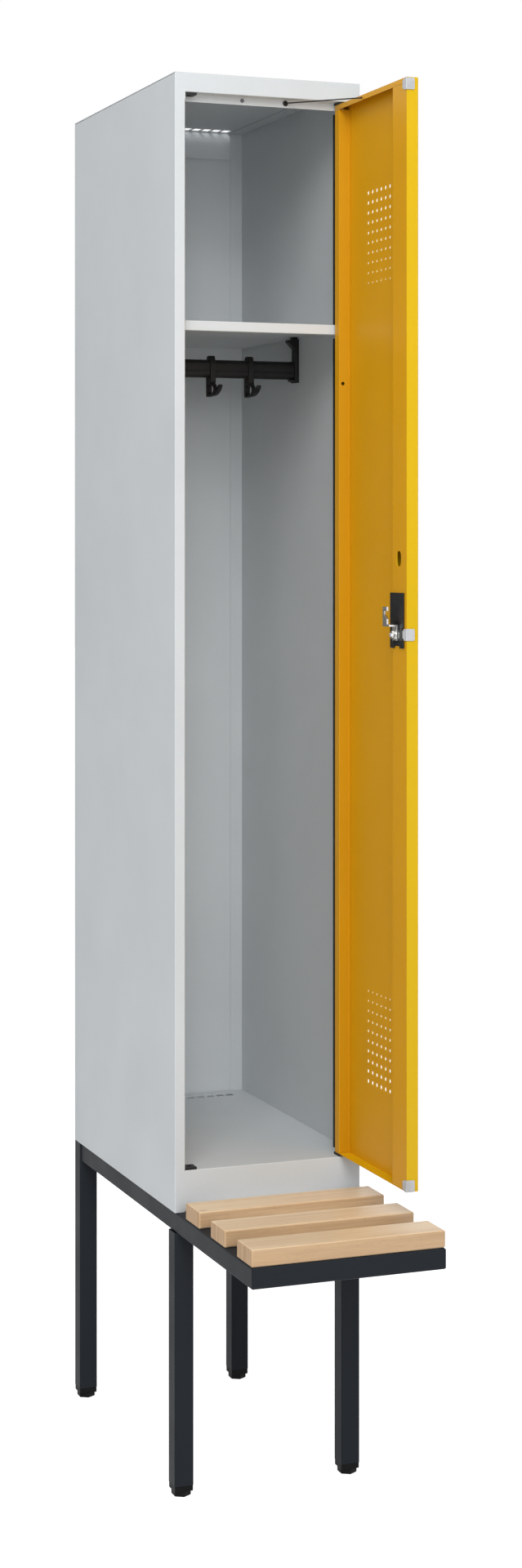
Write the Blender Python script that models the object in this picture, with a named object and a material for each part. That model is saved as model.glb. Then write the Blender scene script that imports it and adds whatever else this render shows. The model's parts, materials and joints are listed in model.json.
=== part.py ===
import math

import bmesh
import bpy
from mathutils import Matrix, Vector

MM = 0.001

# Overall sizes of the locker and of its frame
LOCKER_WIDTH = 300 * MM
BODY_DEPTH = 500 * MM
BODY_HEIGHT = 1700 * MM
BENCH_REACH = 308 * MM
FRAME_HEIGHT = 408 * MM
FOOT_DROP = 17 * MM
TUBE = 30 * MM

# Sheet steel, clearances and cuts
SHEET = 1.0 * MM
GAP = 0.3 * MM
OVERRUN = 4 * MM
ROUND_SIDES = 12
SMOOTH_BELOW = math.radians(40)

# Position of the body inside the box that holds the whole locker
LEFT = -LOCKER_WIDTH / 2
RIGHT = LOCKER_WIDTH / 2
BENCH_FRONT = -(BODY_DEPTH + BENCH_REACH) / 2
FRONT = BENCH_FRONT + BENCH_REACH
BACK = FRONT + BODY_DEPTH
BODY_BOTTOM = FRAME_HEIGHT + FOOT_DROP
TOP = BODY_BOTTOM + BODY_HEIGHT

# Side panels: a wall with a folded stile in front and a flange behind
STILE_WIDTH = 16.2 * MM
STILE_DEPTH = 58 * MM
REAR_FLANGE = 22 * MM
LEVEL_FLANGE = 25 * MM
LATCH_CLEARANCE = 2 * MM
CEILING_SLOT_LENGTH = 24 * MM
CEILING_SLOT_WIDTH = 4 * MM
CEILING_SLOT_STARTS = (222 * MM, 254 * MM)
CEILING_SLOT_SETBACKS = (9 * MM, 15 * MM)

# Front rail over the door, with the ledge that the door shuts against
TOP_RAIL_HEIGHT = 29 * MM
OPENING_TOP = TOP - TOP_RAIL_HEIGHT
STOP_DEPTH = 20.3 * MM
STOP_DROP = 11 * MM
RAIL_TOP_RETURN = 15 * MM

# Floor with its folded plinth, and the air slots of floor and roof
PLINTH_HEIGHT = 62.3 * MM
FLOOR_TOP = BODY_BOTTOM + PLINTH_HEIGHT
PLINTH_LIFT = 1.6 * MM
PLINTH_RETURN = 15 * MM
FLOOR_REAR_DROP = 21 * MM
ROOF_REAR_DROP = 47 * MM
SLOT_COUNT = 14
SLOT_PITCH = 17.5 * MM
SLOT_WIDTH = 13.5 * MM
FLOOR_SLOT_SETBACK = 24.5 * MM
FLOOR_SLOT_LENGTH = 17 * MM
ROOF_SLOT_SETBACK = 6 * MM
ROOF_SLOT_LENGTH = 21 * MM

# Shelf: a sheet with folded rims
SHELF_BELOW_TOP = 367.7 * MM
SHELF_TOP = TOP - SHELF_BELOW_TOP
SHELF_RIM = 15 * MM
SHELF_SIDE_RIM = 4.4 * MM
SHELF_FRONT = 21.6 * MM
SHELF_RETURN = 10 * MM

# Black edge guard on the hinge side stile
TRIM_WIDTH = 6 * MM
TRIM_LENGTH = 12.6 * MM
TRIM_WALL = 2.2 * MM
TRIM_SHELF_GAP = 2.6 * MM
TRIM_TOP_GAP = 10 * MM

# Door, in the open rest position: u runs from its hinge end, w from its outer skin
DOOR_THICKNESS = 18.5 * MM
DOOR_GAP_HINGE = 1.8 * MM
DOOR_GAP_LOCK = 3.3 * MM
DOOR_GAP_FOOT = 4.3 * MM
DOOR_GAP_TOP = 4.4 * MM
DOOR_WIDTH = LOCKER_WIDTH - 2 * STILE_WIDTH - DOOR_GAP_HINGE - DOOR_GAP_LOCK
DOOR_BOTTOM = FLOOR_TOP + DOOR_GAP_FOOT
DOOR_TOP = OPENING_TOP - DOOR_GAP_TOP
DOOR_LIP = 7.6 * MM
DOOR_CORNER = 2 * MM
DOOR_NOSE_STEPS = 5
HINGE_CHANNEL = 18 * MM
LOCK_CHANNEL = 49 * MM
WELD_FLANGE = 9 * MM
HINGE_FLANGE = 4.8 * MM
CORD_SLOT_U = 102 * MM
CORD_SLOT_LENGTH = 7 * MM
CORD_SLOT_HEIGHT = 3.4 * MM
LIP_NOTCH_LENGTH = 7 * MM
LIP_NOTCH_HEIGHT = 1.2 * MM
CHANNEL_HOLE_FROM_TOP = 425.6 * MM
CHANNEL_HOLE_DEPTH = 12 * MM
CHANNEL_HOLE = 5.6 * MM

# Hinge pins and the bearing blocks that they turn in
PIVOT_FROM_END = 7.6 * MM
PIVOT_FROM_RIGHT = STILE_WIDTH + DOOR_GAP_HINGE + PIVOT_FROM_END
PIVOT_FROM_FRONT = 9.2 * MM
BLOCK_WIDTH = 18.5 * MM
BLOCK_SETBACK = 0.6 * MM
BLOCK_DEPTH = 19 * MM
PIN_DIAMETER = 6 * MM
PIN_HOLE = 6.6 * MM
PIN_INSIDE = 14 * MM
PIN_PAST_SHEET = 2.4 * MM
COLLAR_DIAMETER = 11 * MM
COLLAR_THICKNESS = 3 * MM

# Graded perforation of the door skin
HOLE_COLUMNS = 6
HOLE_ROWS = 10
HOLE_PITCH_ACROSS = 15.6 * MM
HOLE_PITCH_UP = 15.05 * MM
HOLE_LARGEST = 6.4 * MM
HOLE_SMALLEST = 3.8 * MM
HOLE_FIRST_U = 87.6 * MM
HOLE_FIELD_FROM_TOP = 143.2 * MM
HOLE_FIELD_FROM_FOOT = 123.9 * MM
HOLE_SIDES = 6

# Lock: plate, barrel, turning core, hook cam and nut
LOCK_FROM_EDGE = 30 * MM
LOCK_U = DOOR_WIDTH - LOCK_FROM_EDGE
LOCK_FROM_FOOT = 798.4 * MM
LOCK_HEIGHT = DOOR_BOTTOM + LOCK_FROM_FOOT
LOCK_PLATE_WIDTH = 45.5 * MM
LOCK_PLATE_BELOW = 19 * MM
LOCK_PLATE_HEIGHT = 80 * MM
LOCK_PLATE_THICKNESS = 2 * MM
LOCK_NOTCH_WIDTH = 19 * MM
LOCK_NOTCH_HEIGHT = 38 * MM
LOCK_RECESS_FLOOR = 0.6 * MM
LOCK_RECESS_OPEN = 3 * MM
BARREL_DIAMETER = 17.4 * MM
BARREL_HOLE = 18 * MM
BARREL_PAST_PLATE = 0.4 * MM
BARREL_HEAD_DIAMETER = 26 * MM
BARREL_HEAD_THICKNESS = 2.6 * MM
CORE_DIAMETER = 11 * MM
CORE_HOLE = 11.6 * MM
CORE_PROUD = 0.8 * MM
CORE_SPINDLE = 6 * MM
CORE_STEP = 0.2 * MM
SPINDLE_REACH = 9.4 * MM
KEYWAY_WIDTH = 1.4 * MM
KEYWAY_HEIGHT = 7 * MM
KEYWAY_DEPTH = 4 * MM
CAM_THICKNESS = 2.6 * MM
CAM_HALF_WIDTH = 7.6 * MM
CAM_FOOT = 8 * MM
CAM_RISE = 15 * MM
CAM_OFFSET = 14.5 * MM
CAM_TIP_WIDTH = 14.5 * MM
CAM_HOOK = 6 * MM
CAM_CLEARANCE = 0.5 * MM
CAM_NOTCH_HEIGHT = 5 * MM
CAM_NOTCH_SLOPE = 6.5 * MM
CAM_NOTCH_DEPTH = 9.5 * MM
CAM_HOLE = 6.6 * MM
NUT_ACROSS = 13 * MM
NUT_THICKNESS = 4.4 * MM

# Oblong opening over the lock
OBLONG_FROM_EDGE = 26.7 * MM
OBLONG_WIDTH = 14.6 * MM
OBLONG_HEIGHT = 23 * MM
OBLONG_ABOVE_LOCK = 110.2 * MM

# Pale buffers round the free edge of the door
BUFFER_THICKNESS = 1.2 * MM
BUFFER_ON_FACE = 11.5 * MM
BUFFER_ON_EDGE = 12 * MM
BUFFER_HEIGHT = 17 * MM
BUFFER_CHAMFER = 3 * MM
BUFFER_BELOW_LOCK = 7.5 * MM
BUFFER_BELOW_TOP = 18 * MM

# Restraint cord between front rail and door
STAY_FROM_RIGHT = 114.8 * MM
STAY_BELOW_OPENING = 4.6 * MM
STAY_HEIGHT = OPENING_TOP - STAY_BELOW_OPENING
STAY_HOLE = 4.6 * MM
STAY_HEAD_DIAMETER = 8.6 * MM
STAY_HEAD_THICKNESS = 1.2 * MM
STAY_STEM = 4 * MM
STAY_BEHIND = 3 * MM
STAY_BORE = 2.6 * MM
PLUG_DIAMETER = 6 * MM
CORD_DIAMETER = 2 * MM
CORD_TURN = 2.5 * MM
CORD_TURN_STEPS = 5
CORD_BEYOND_LIP = 5 * MM
CORD_BEAD_DIAMETER = 5 * MM
CORD_BEAD_LENGTH = 3 * MM

# Hook rail under the shelf
HOOK_RAIL_DEPTH = 250 * MM
HOOK_RAIL_BELOW_SHELF = 55.3 * MM
HOOK_RAIL_CENTRE = SHELF_TOP - HOOK_RAIL_BELOW_SHELF
HOOK_RAIL_THICKNESS = 15 * MM
HOOK_RAIL_HEIGHT = 29 * MM
HOOK_RAIL_WALL = 1.5 * MM
BRACKET_THICKNESS = 7.5 * MM
BRACKET_HALF_DEPTH = 9.5 * MM
BRACKET_COLUMN_BACK = 4 * MM
BRACKET_FOOT_DROP = 19.4 * MM
BRACKET_CUP_TOP = 16 * MM
BRACKET_LUG_REACH = 11 * MM
BRACKET_LUG_FALL = 8 * MM
BRACKET_TAB_REACH = 2.6 * MM
BRACKET_TAB_SETBACK = 1.5 * MM
LEDGE_REACH = 7 * MM
LEDGE_THICKNESS = 3 * MM

# Sliding coat hooks
HOOK_COUNT = 3
HOOK_PITCH = 65.5 * MM
HOOK_WIDTH = 9.2 * MM
HOOK_CLEARANCE = 0.6 * MM
HOOK_WALL = 3.4 * MM
HOOK_CAP = 21 * MM
HOOK_CAP_HALF = 5.5 * MM
HOOK_FOOT = 44.5 * MM
HOOK_TIP = 44.5 * MM
HOOK_TIP_HEIGHT = 29 * MM
HOOK_BULGE = 21 * MM

# Frame of square tube
TUBE_WALL = 2 * MM
TUBE_CORNER = 1.6 * MM
RAIL_INSET = 2.5 * MM

# Seat slats
SLAT_PITCH = 105 * MM
SLAT_DEPTH = 58 * MM
SLAT_THICKNESS = 25 * MM
SLAT_SETBACK = 1 * MM
SLAT_ROUNDING = 3 * MM
SLAT_ROUNDING_STEPS = 2

# Tube inserts and levelling feet
INSERT_LIP = 8.4 * MM
INSERT_SHRINK = 0.5 * MM
INSERT_PLUG = 18 * MM
INSERT_THREAD_HOLE = 8.6 * MM
FOOT_CORNERS = 30 * MM
FOOT_SIDES = 6
FOOT_STEM = 8 * MM
FOOT_STEM_LENGTH = 30 * MM
FOOT_BEVEL = 1.2 * MM

# Colours, each with its roughness and metallic value
BODY_GREY = ((0.58, 0.60, 0.61), 0.42, 0.0)
DOOR_YELLOW = ((0.80, 0.52, 0.01), 0.38, 0.0)
FRAME_GREY = ((0.035, 0.042, 0.048), 0.45, 0.0)
BLACK_PLASTIC = ((0.012, 0.012, 0.013), 0.5, 0.0)
PALE_PLASTIC = ((0.68, 0.69, 0.71), 0.5, 0.0)
GREY_PLASTIC = ((0.22, 0.23, 0.24), 0.5, 0.0)
NICKEL = ((0.72, 0.71, 0.69), 0.28, 1.0)
STEEL = ((0.55, 0.56, 0.58), 0.35, 1.0)
SLAT_WOOD = ((0.72, 0.50, 0.29), 0.45, 0.0)


def clear_scene():
    for obj in list(bpy.data.objects):
        bpy.data.objects.remove(obj, do_unlink=True)


def paint(name, look):
    colour, roughness, metallic = look
    material = bpy.data.materials.new(name + "_finish")
    material.use_nodes = True
    shader = material.node_tree.nodes["Principled BSDF"]
    shader.inputs["Base Color"].default_value = (*colour, 1)
    shader.inputs["Roughness"].default_value = roughness
    shader.inputs["Metallic"].default_value = metallic
    material.diffuse_color = (*colour, 1)
    return material


def object_of(name, shape, look=None):
    bmesh.ops.recalc_face_normals(shape, faces=shape.faces[:])
    mesh = bpy.data.meshes.new(name)
    shape.to_mesh(mesh)
    shape.free()
    obj = bpy.data.objects.new(name, mesh)
    bpy.context.scene.collection.objects.link(obj)
    if look:
        mesh.materials.append(paint(name, look))
    return obj


def prism(name, rings, look=None):
    """A closed body whose ends are the first ring and the last, each ring a list of points."""
    shape = bmesh.new()
    layers = [[shape.verts.new(point) for point in ring] for ring in rings]
    count = len(layers[0])
    shape.faces.new(layers[0])
    shape.faces.new(list(reversed(layers[-1])))
    for lower, upper in zip(layers, layers[1:]):
        for i in range(count):
            j = (i + 1) % count
            shape.faces.new((lower[i], lower[j], upper[j], upper[i]))
    return object_of(name, shape, look)


def plan_prism(name, outline, low, high, look=None):
    rings = [[(x, y, z) for x, y in outline] for z in (low, high)]
    return prism(name, rings, look)


def side_prism(name, outline, left, right, look=None):
    rings = [[(x, y, z) for y, z in outline] for x in (left, right)]
    return prism(name, rings, look)


def front_prism(name, outline, front, back, look=None):
    rings = [[(x, y, z) for x, z in outline] for y in (front, back)]
    return prism(name, rings, look)


def box(name, low, high, look=None):
    (x0, y0, z0), (x1, y1, z1) = low, high
    outline = [(x0, y0), (x1, y0), (x1, y1), (x0, y1)]
    return plan_prism(name, outline, z0, z1, look)


def ring_points(centre, diameter, sides, axis, turn=0.0):
    radius = diameter / 2
    points = []
    for i in range(sides):
        angle = turn + 2 * math.pi * i / sides
        a = radius * math.cos(angle)
        b = radius * math.sin(angle)
        offset = {"X": (0, a, b), "Y": (a, 0, b), "Z": (a, b, 0)}[axis]
        points.append(Vector(centre) + Vector(offset))
    return points


def rod(name, start, length, diameter, axis, look=None, sides=ROUND_SIDES):
    step = Vector({"X": (length, 0, 0), "Y": (0, length, 0), "Z": (0, 0, length)}[axis])
    first = ring_points(start, diameter, sides, axis)
    second = [point + step for point in first]
    obj = prism(name, [first, second], look)
    if look:
        smooth(obj)
    return obj


def smooth(obj):
    obj.data.shade_smooth()
    obj.data.set_sharp_from_angle(angle=SMOOTH_BELOW)


def joined(name, pieces):
    """One helper mesh made of several separate bodies."""
    shape = bmesh.new()
    for piece in pieces:
        shape.from_mesh(piece.data)
        bpy.data.objects.remove(piece, do_unlink=True)
    return object_of(name, shape)


def combine(target, helper, operation):
    modifier = target.modifiers.new(helper.name, "BOOLEAN")
    modifier.operation = operation
    modifier.solver = "EXACT"
    modifier.object = helper
    helper.hide_render = True
    helper.display_type = "WIRE"
    return target


def cut(target, helper):
    return combine(target, helper, "DIFFERENCE")


def fuse(target, helper):
    return combine(target, helper, "UNION")


def turn_about(obj, point):
    """Puts the object's origin on its joint axis and leaves its shape where it is."""
    obj.data.transform(Matrix.Translation(-Vector(point)))
    obj.location = point
    return obj


def mirror_outline(outline):
    return [(-x, y) for x, y in reversed(outline)]


def oval(centre_a, centre_b, width, height, steps):
    """Points of a shape with straight sides and round ends, standing upright."""
    radius = width / 2
    straight = height / 2 - radius
    points = []
    for end, start in ((1, 0.0), (-1, math.pi)):
        for i in range(steps + 1):
            angle = start + math.pi * i / steps
            a = centre_a + radius * math.cos(angle)
            b = centre_b + end * straight + radius * math.sin(angle)
            points.append((a, b))
    return points


def side_panel(name, side):
    outer = LEFT
    stile_end = outer + STILE_WIDTH
    rear = BACK - SHEET - GAP
    outline = [
        (outer, FRONT),
        (stile_end, FRONT),
        (stile_end, FRONT + STILE_DEPTH),
        (stile_end - SHEET, FRONT + STILE_DEPTH),
        (stile_end - SHEET, FRONT + SHEET),
        (outer + SHEET, FRONT + SHEET),
        (outer + SHEET, rear - SHEET),
        (outer + REAR_FLANGE, rear - SHEET),
        (outer + REAR_FLANGE, rear),
        (outer, rear),
    ]
    low = BODY_BOTTOM + GAP
    high = TOP - SHEET - GAP
    if side == "right":
        outline = mirror_outline(outline)
    panel = plan_prism(name, outline, low, high, BODY_GREY)
    front = FRONT + STOP_DEPTH + SHEET + GAP
    for label, base in (("foot", low), ("head", high - SHEET)):
        flange = [
            (outer, front),
            (outer + LEVEL_FLANGE, front),
            (outer + LEVEL_FLANGE, rear - SHEET - GAP),
            (outer, rear - SHEET - GAP),
        ]
        if side == "right":
            flange = mirror_outline(flange)
        helper = plan_prism(name + "_" + label, flange, base, base + SHEET)
        fuse(panel, helper)
    cut(panel, ceiling_slots(name, side, high))
    if side == "left":
        cut(panel, latch_slot(name, stile_end))
    return panel


def ceiling_slots(name, side, high):
    sign = 1 if side == "left" else -1
    cutters = []
    for start, setback in zip(CEILING_SLOT_STARTS, CEILING_SLOT_SETBACKS):
        inner = sign * (LEFT + setback)
        outer = inner + sign * CEILING_SLOT_WIDTH
        low = (min(inner, outer), FRONT + start, high - SHEET - OVERRUN)
        end = (max(inner, outer), FRONT + start + CEILING_SLOT_LENGTH, high + OVERRUN)
        cutters.append(box(name + "_slot", low, end))
    return joined(name + "_ceiling_slots", cutters)


def lock_to_stile():
    """How far the lock's axis lies from the left stile once the door is shut."""
    return RIGHT - PIVOT_FROM_RIGHT + PIVOT_FROM_END - LOCK_U - LEFT - STILE_WIDTH


def cam_reach():
    return lock_to_stile() + SHEET + CAM_CLEARANCE + CAM_HOOK


def latch_slot(name, stile_end):
    """The slot that the cam's hook swings through, and whose lower edge it grips."""
    sweep = math.sqrt(cam_reach() ** 2 + CAM_TIP_WIDTH ** 2 - lock_to_stile() ** 2)
    tip = lock_inner_end() + CORE_STEP + GAP + CAM_OFFSET
    front = FRONT + tip - CAM_THICKNESS - LATCH_CLEARANCE
    back = FRONT + tip + LATCH_CLEARANCE
    low = (stile_end - SHEET - OVERRUN, front, LOCK_HEIGHT + LATCH_CLEARANCE)
    high = (stile_end + OVERRUN, back, LOCK_HEIGHT + sweep + LATCH_CLEARANCE)
    return box(name + "_latch_slot", low, high)


def air_slots(name, setback, length, low, high):
    first = -((SLOT_COUNT - 1) * SLOT_PITCH + SLOT_WIDTH) / 2
    cutters = []
    for i in range(SLOT_COUNT):
        left = first + i * SLOT_PITCH
        near = (left, BACK - setback - length, low)
        far = (left + SLOT_WIDTH, BACK - setback, high)
        cutters.append(box(name + "_slot", near, far))
    return joined(name + "_slots", cutters)


def back_panel():
    low = (LEFT + GAP, BACK - SHEET, BODY_BOTTOM + GAP)
    high = (RIGHT - GAP, BACK, TOP - SHEET - GAP)
    return box("back_panel", low, high, BODY_GREY)


def roof_panel():
    roof = box("roof_panel", (LEFT, FRONT, TOP - SHEET), (RIGHT, BACK, TOP), BODY_GREY)
    half = RIGHT - REAR_FLANGE - GAP
    rear = BACK - SHEET - GAP
    flange = box(
        "roof_rear_flange",
        (-half, rear - SHEET, TOP - ROOF_REAR_DROP),
        (half, rear, TOP - SHEET / 2),
    )
    fuse(roof, flange)
    low, high = TOP - SHEET - OVERRUN, TOP + OVERRUN
    return cut(roof, air_slots("roof", ROOF_SLOT_SETBACK, ROOF_SLOT_LENGTH, low, high))


def front_top_rail():
    head = TOP - SHEET - GAP
    stop = FRONT + STOP_DEPTH
    outline = [
        (FRONT, OPENING_TOP),
        (stop, OPENING_TOP),
        (stop, OPENING_TOP - STOP_DROP),
        (stop + SHEET, OPENING_TOP - STOP_DROP),
        (stop + SHEET, OPENING_TOP + SHEET),
        (FRONT + SHEET, OPENING_TOP + SHEET),
        (FRONT + SHEET, head - SHEET),
        (FRONT + RAIL_TOP_RETURN, head - SHEET),
        (FRONT + RAIL_TOP_RETURN, head),
        (FRONT, head),
    ]
    half = RIGHT - STILE_WIDTH - GAP
    rail = side_prism("front_top_rail", outline, -half, half, BODY_GREY)
    cutters = []
    stay = RIGHT - STAY_FROM_RIGHT
    pivot = RIGHT - PIVOT_FROM_RIGHT
    for sign in (-1, 1):
        start = (sign * stay, stop - OVERRUN, STAY_HEIGHT)
        cutters.append(rod("stay_hole", start, SHEET + 2 * OVERRUN, STAY_HOLE, "Y"))
        start = (sign * pivot, FRONT + PIVOT_FROM_FRONT, OPENING_TOP - OVERRUN)
        cutters.append(rod("pin_hole", start, SHEET + 2 * OVERRUN, PIN_HOLE, "Z"))
    return cut(rail, joined("front_top_rail_holes", cutters))


def floor_pan():
    inner = RIGHT - STILE_WIDTH - GAP
    outer = RIGHT - SHEET - GAP
    notch = FRONT + STILE_DEPTH + GAP
    rear = BACK - 2 * (SHEET + GAP)
    outline = [
        (-inner, FRONT),
        (inner, FRONT),
        (inner, notch),
        (outer, notch),
        (outer, rear),
        (-outer, rear),
        (-outer, notch),
        (-inner, notch),
    ]
    floor = plan_prism("floor_pan", outline, FLOOR_TOP - SHEET, FLOOR_TOP, BODY_GREY)
    low = BODY_BOTTOM + PLINTH_LIFT
    profile = [
        (FRONT, low),
        (FRONT + PLINTH_RETURN, low),
        (FRONT + PLINTH_RETURN, low + SHEET),
        (FRONT + SHEET, low + SHEET),
        (FRONT + SHEET, FLOOR_TOP - SHEET / 2),
        (FRONT, FLOOR_TOP - SHEET / 2),
    ]
    fuse(floor, side_prism("plinth_front", profile, -inner, inner))
    near = (-outer, rear - SHEET, FLOOR_TOP - FLOOR_REAR_DROP)
    far = (outer, rear, FLOOR_TOP - SHEET / 2)
    fuse(floor, box("floor_rear_flange", near, far))
    low, high = FLOOR_TOP - SHEET - OVERRUN, FLOOR_TOP + OVERRUN
    cut(floor, air_slots("floor", FLOOR_SLOT_SETBACK, FLOOR_SLOT_LENGTH, low, high))
    pivot = RIGHT - PIVOT_FROM_RIGHT
    holes = []
    for sign in (-1, 1):
        start = (sign * pivot, FRONT + PIVOT_FROM_FRONT, low)
        holes.append(rod("pin_hole", start, high - low, PIN_HOLE, "Z"))
    return cut(floor, joined("floor_pin_holes", holes))


def shelf():
    inner = RIGHT - STILE_WIDTH - GAP
    outer = RIGHT - SHEET - GAP
    front = FRONT + SHELF_FRONT
    notch = FRONT + STILE_DEPTH + GAP
    rear = BACK - 2 * (SHEET + GAP)
    outline = [
        (-inner, front),
        (inner, front),
        (inner, notch),
        (outer, notch),
        (outer, rear),
        (-outer, rear),
        (-outer, notch),
        (-inner, notch),
    ]
    board = plan_prism("shelf", outline, SHELF_TOP - SHEET, SHELF_TOP, BODY_GREY)
    low = SHELF_TOP - SHELF_RIM
    middle = SHELF_TOP - SHEET / 2
    profile = [
        (front, low),
        (front + SHELF_RETURN, low),
        (front + SHELF_RETURN, low + SHEET),
        (front + SHEET, low + SHEET),
        (front + SHEET, middle),
        (front, middle),
    ]
    fuse(board, side_prism("shelf_front_rim", profile, -inner, inner))
    fuse(board, box("shelf_rear_rim", (-outer, rear - SHEET, low), (outer, rear, middle)))
    side_low = SHELF_TOP - SHELF_SIDE_RIM
    for sign in (-1, 1):
        ends = sorted((sign * outer, sign * (outer - SHEET)))
        near = (ends[0], notch, side_low)
        rim = box("shelf_side_rim", near, (ends[1], rear - SHEET / 2, middle))
        fuse(board, rim)
    return board


def edge_trim(name, low, high):
    left = RIGHT - STILE_WIDTH + SHEET / 2 - TRIM_WIDTH / 2
    right = left + TRIM_WIDTH
    rear = FRONT + STILE_DEPTH + GAP + TRIM_WALL + GAP
    front = rear - TRIM_LENGTH
    slot_left = RIGHT - STILE_WIDTH - GAP
    slot_right = RIGHT - STILE_WIDTH + SHEET + GAP
    slot_end = FRONT + STILE_DEPTH + GAP
    outline = [
        (left, front),
        (slot_left, front),
        (slot_left, slot_end),
        (slot_right, slot_end),
        (slot_right, front),
        (right, front),
        (right, rear),
        (left, rear),
    ]
    return plan_prism(name, outline, low, high, BLACK_PLASTIC)


def edge_trims():
    edge_trim("edge_trim_lower", FLOOR_TOP + GAP, SHELF_TOP - SHELF_RIM - TRIM_SHELF_GAP)
    edge_trim("edge_trim_upper", SHELF_TOP + TRIM_SHELF_GAP, OPENING_TOP - TRIM_TOP_GAP)


def bearing_block(name, sign, low, high):
    inner = sign * (RIGHT - STILE_WIDTH - GAP)
    outer = inner - sign * BLOCK_WIDTH
    front = FRONT + BLOCK_SETBACK
    near = (min(inner, outer), front, low)
    far = (max(inner, outer), front + BLOCK_DEPTH, high)
    block = box(name, near, far, BLACK_PLASTIC)
    start = (sign * (RIGHT - PIVOT_FROM_RIGHT), FRONT + PIVOT_FROM_FRONT, low - OVERRUN)
    length = high - low + 2 * OVERRUN
    return cut(block, rod(name + "_hole", start, length, PIN_HOLE, "Z"))


def bearing_blocks():
    for side, sign in (("left", -1), ("right", 1)):
        bearing_block("bearing_lower_" + side, sign, FLOOR_TOP + GAP, DOOR_BOTTOM - GAP)
        high = OPENING_TOP - GAP
        bearing_block("bearing_upper_" + side, sign, DOOR_TOP + 2 * GAP, high)


def pivot_point(height):
    return Vector((RIGHT - PIVOT_FROM_RIGHT, FRONT + PIVOT_FROM_FRONT, height))


def on_door(u, w):
    """A point of the open door in plan: u from its hinge end, w from its outer skin."""
    pivot = pivot_point(0)
    return (pivot.x + PIVOT_FROM_FRONT - w, pivot.y + PIVOT_FROM_END - u)


def door_prism(name, outline, low, high, look=None):
    return plan_prism(name, [on_door(u, w) for u, w in outline], low, high, look)


def door_box(name, u0, u1, w0, w1, low, high, look=None):
    outline = [(u0, w0), (u1, w0), (u1, w1), (u0, w1)]
    return door_prism(name, outline, low, high, look)


def door_rod(name, u, w0, w1, height, diameter, look=None, sides=ROUND_SIDES):
    x, y = on_door(u, w1)
    return rod(name, (x, y, height), w1 - w0, diameter, "X", look, sides)


def pan_outline(inset, inner, corner):
    """The door's section, rounded about its pivot so that it clears the stile as it swings."""
    radius = PIVOT_FROM_FRONT - inset
    swing = math.asin((PIVOT_FROM_END - inset) / radius)
    points = []
    for i in range(DOOR_NOSE_STEPS + 1):
        angle = swing * i / DOOR_NOSE_STEPS
        u = PIVOT_FROM_END - radius * math.sin(angle)
        w = PIVOT_FROM_FRONT - radius * math.cos(angle)
        points.append((u, w))
    far = DOOR_WIDTH - inset
    if corner:
        points.append((inset, inner - corner))
    return [*points, (inset + corner, inner), (far, inner), (far, inset)]


def door_shell():
    low, high = DOOR_BOTTOM, DOOR_TOP
    section = pan_outline(0, DOOR_THICKNESS, DOOR_CORNER)
    shell = door_prism("door_shell", section, low, high, DOOR_YELLOW)
    inside = DOOR_THICKNESS + OVERRUN
    section = pan_outline(SHEET, inside, 0)
    cut(shell, door_prism("door_hollow", section, low + SHEET, high - DOOR_LIP))
    under_lip = DOOR_THICKNESS - SHEET
    section = pan_outline(SHEET, under_lip, DOOR_CORNER)
    cut(shell, door_prism("door_head", section, high - DOOR_LIP - OVERRUN, high - SHEET))
    cut(shell, perforation())
    cut(shell, door_rod("barrel_hole", LOCK_U, -OVERRUN, SHEET + OVERRUN, LOCK_HEIGHT, BARREL_HOLE))
    slot_low = high - DOOR_LIP / 2 - CORD_SLOT_HEIGHT / 2
    slot = door_box(
        "cord_slot", CORD_SLOT_U - CORD_SLOT_LENGTH / 2, CORD_SLOT_U + CORD_SLOT_LENGTH / 2,
        under_lip - SHEET, inside, slot_low, slot_low + CORD_SLOT_HEIGHT,
    )
    cut(shell, slot)
    notch_start = CORD_SLOT_U + CORD_SLOT_LENGTH / 2
    notch = door_box(
        "lip_notch", notch_start, notch_start + LIP_NOTCH_LENGTH, under_lip - SHEET, inside,
        high - DOOR_LIP - OVERRUN, high - DOOR_LIP + LIP_NOTCH_HEIGHT,
    )
    cut(shell, notch)
    pins = []
    for label, height in (("low", low), ("high", high)):
        start = pivot_point(height - SHEET - OVERRUN)
        pins.append(rod("pin_" + label, start, 2 * (SHEET + OVERRUN), PIN_HOLE, "Z"))
    cut(shell, joined("door_pin_holes", pins))
    return turn_about(shell, pivot_point(low))


def perforation():
    """Two fields of holes that shrink row by row towards the middle of the door."""
    holes = []
    for row in range(HOLE_ROWS):
        share = row / (HOLE_ROWS - 1)
        diameter = HOLE_LARGEST + (HOLE_SMALLEST - HOLE_LARGEST) * share
        from_edge = row * HOLE_PITCH_UP
        heights = (
            DOOR_TOP - HOLE_FIELD_FROM_TOP - from_edge,
            DOOR_BOTTOM + HOLE_FIELD_FROM_FOOT + from_edge,
        )
        for column in range(HOLE_COLUMNS):
            u = HOLE_FIRST_U + column * HOLE_PITCH_ACROSS
            for height in heights:
                hole = door_rod("hole", u, -SHEET, 2 * SHEET, height, diameter, None, HOLE_SIDES)
                holes.append(hole)
    return joined("perforation", holes)


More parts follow.
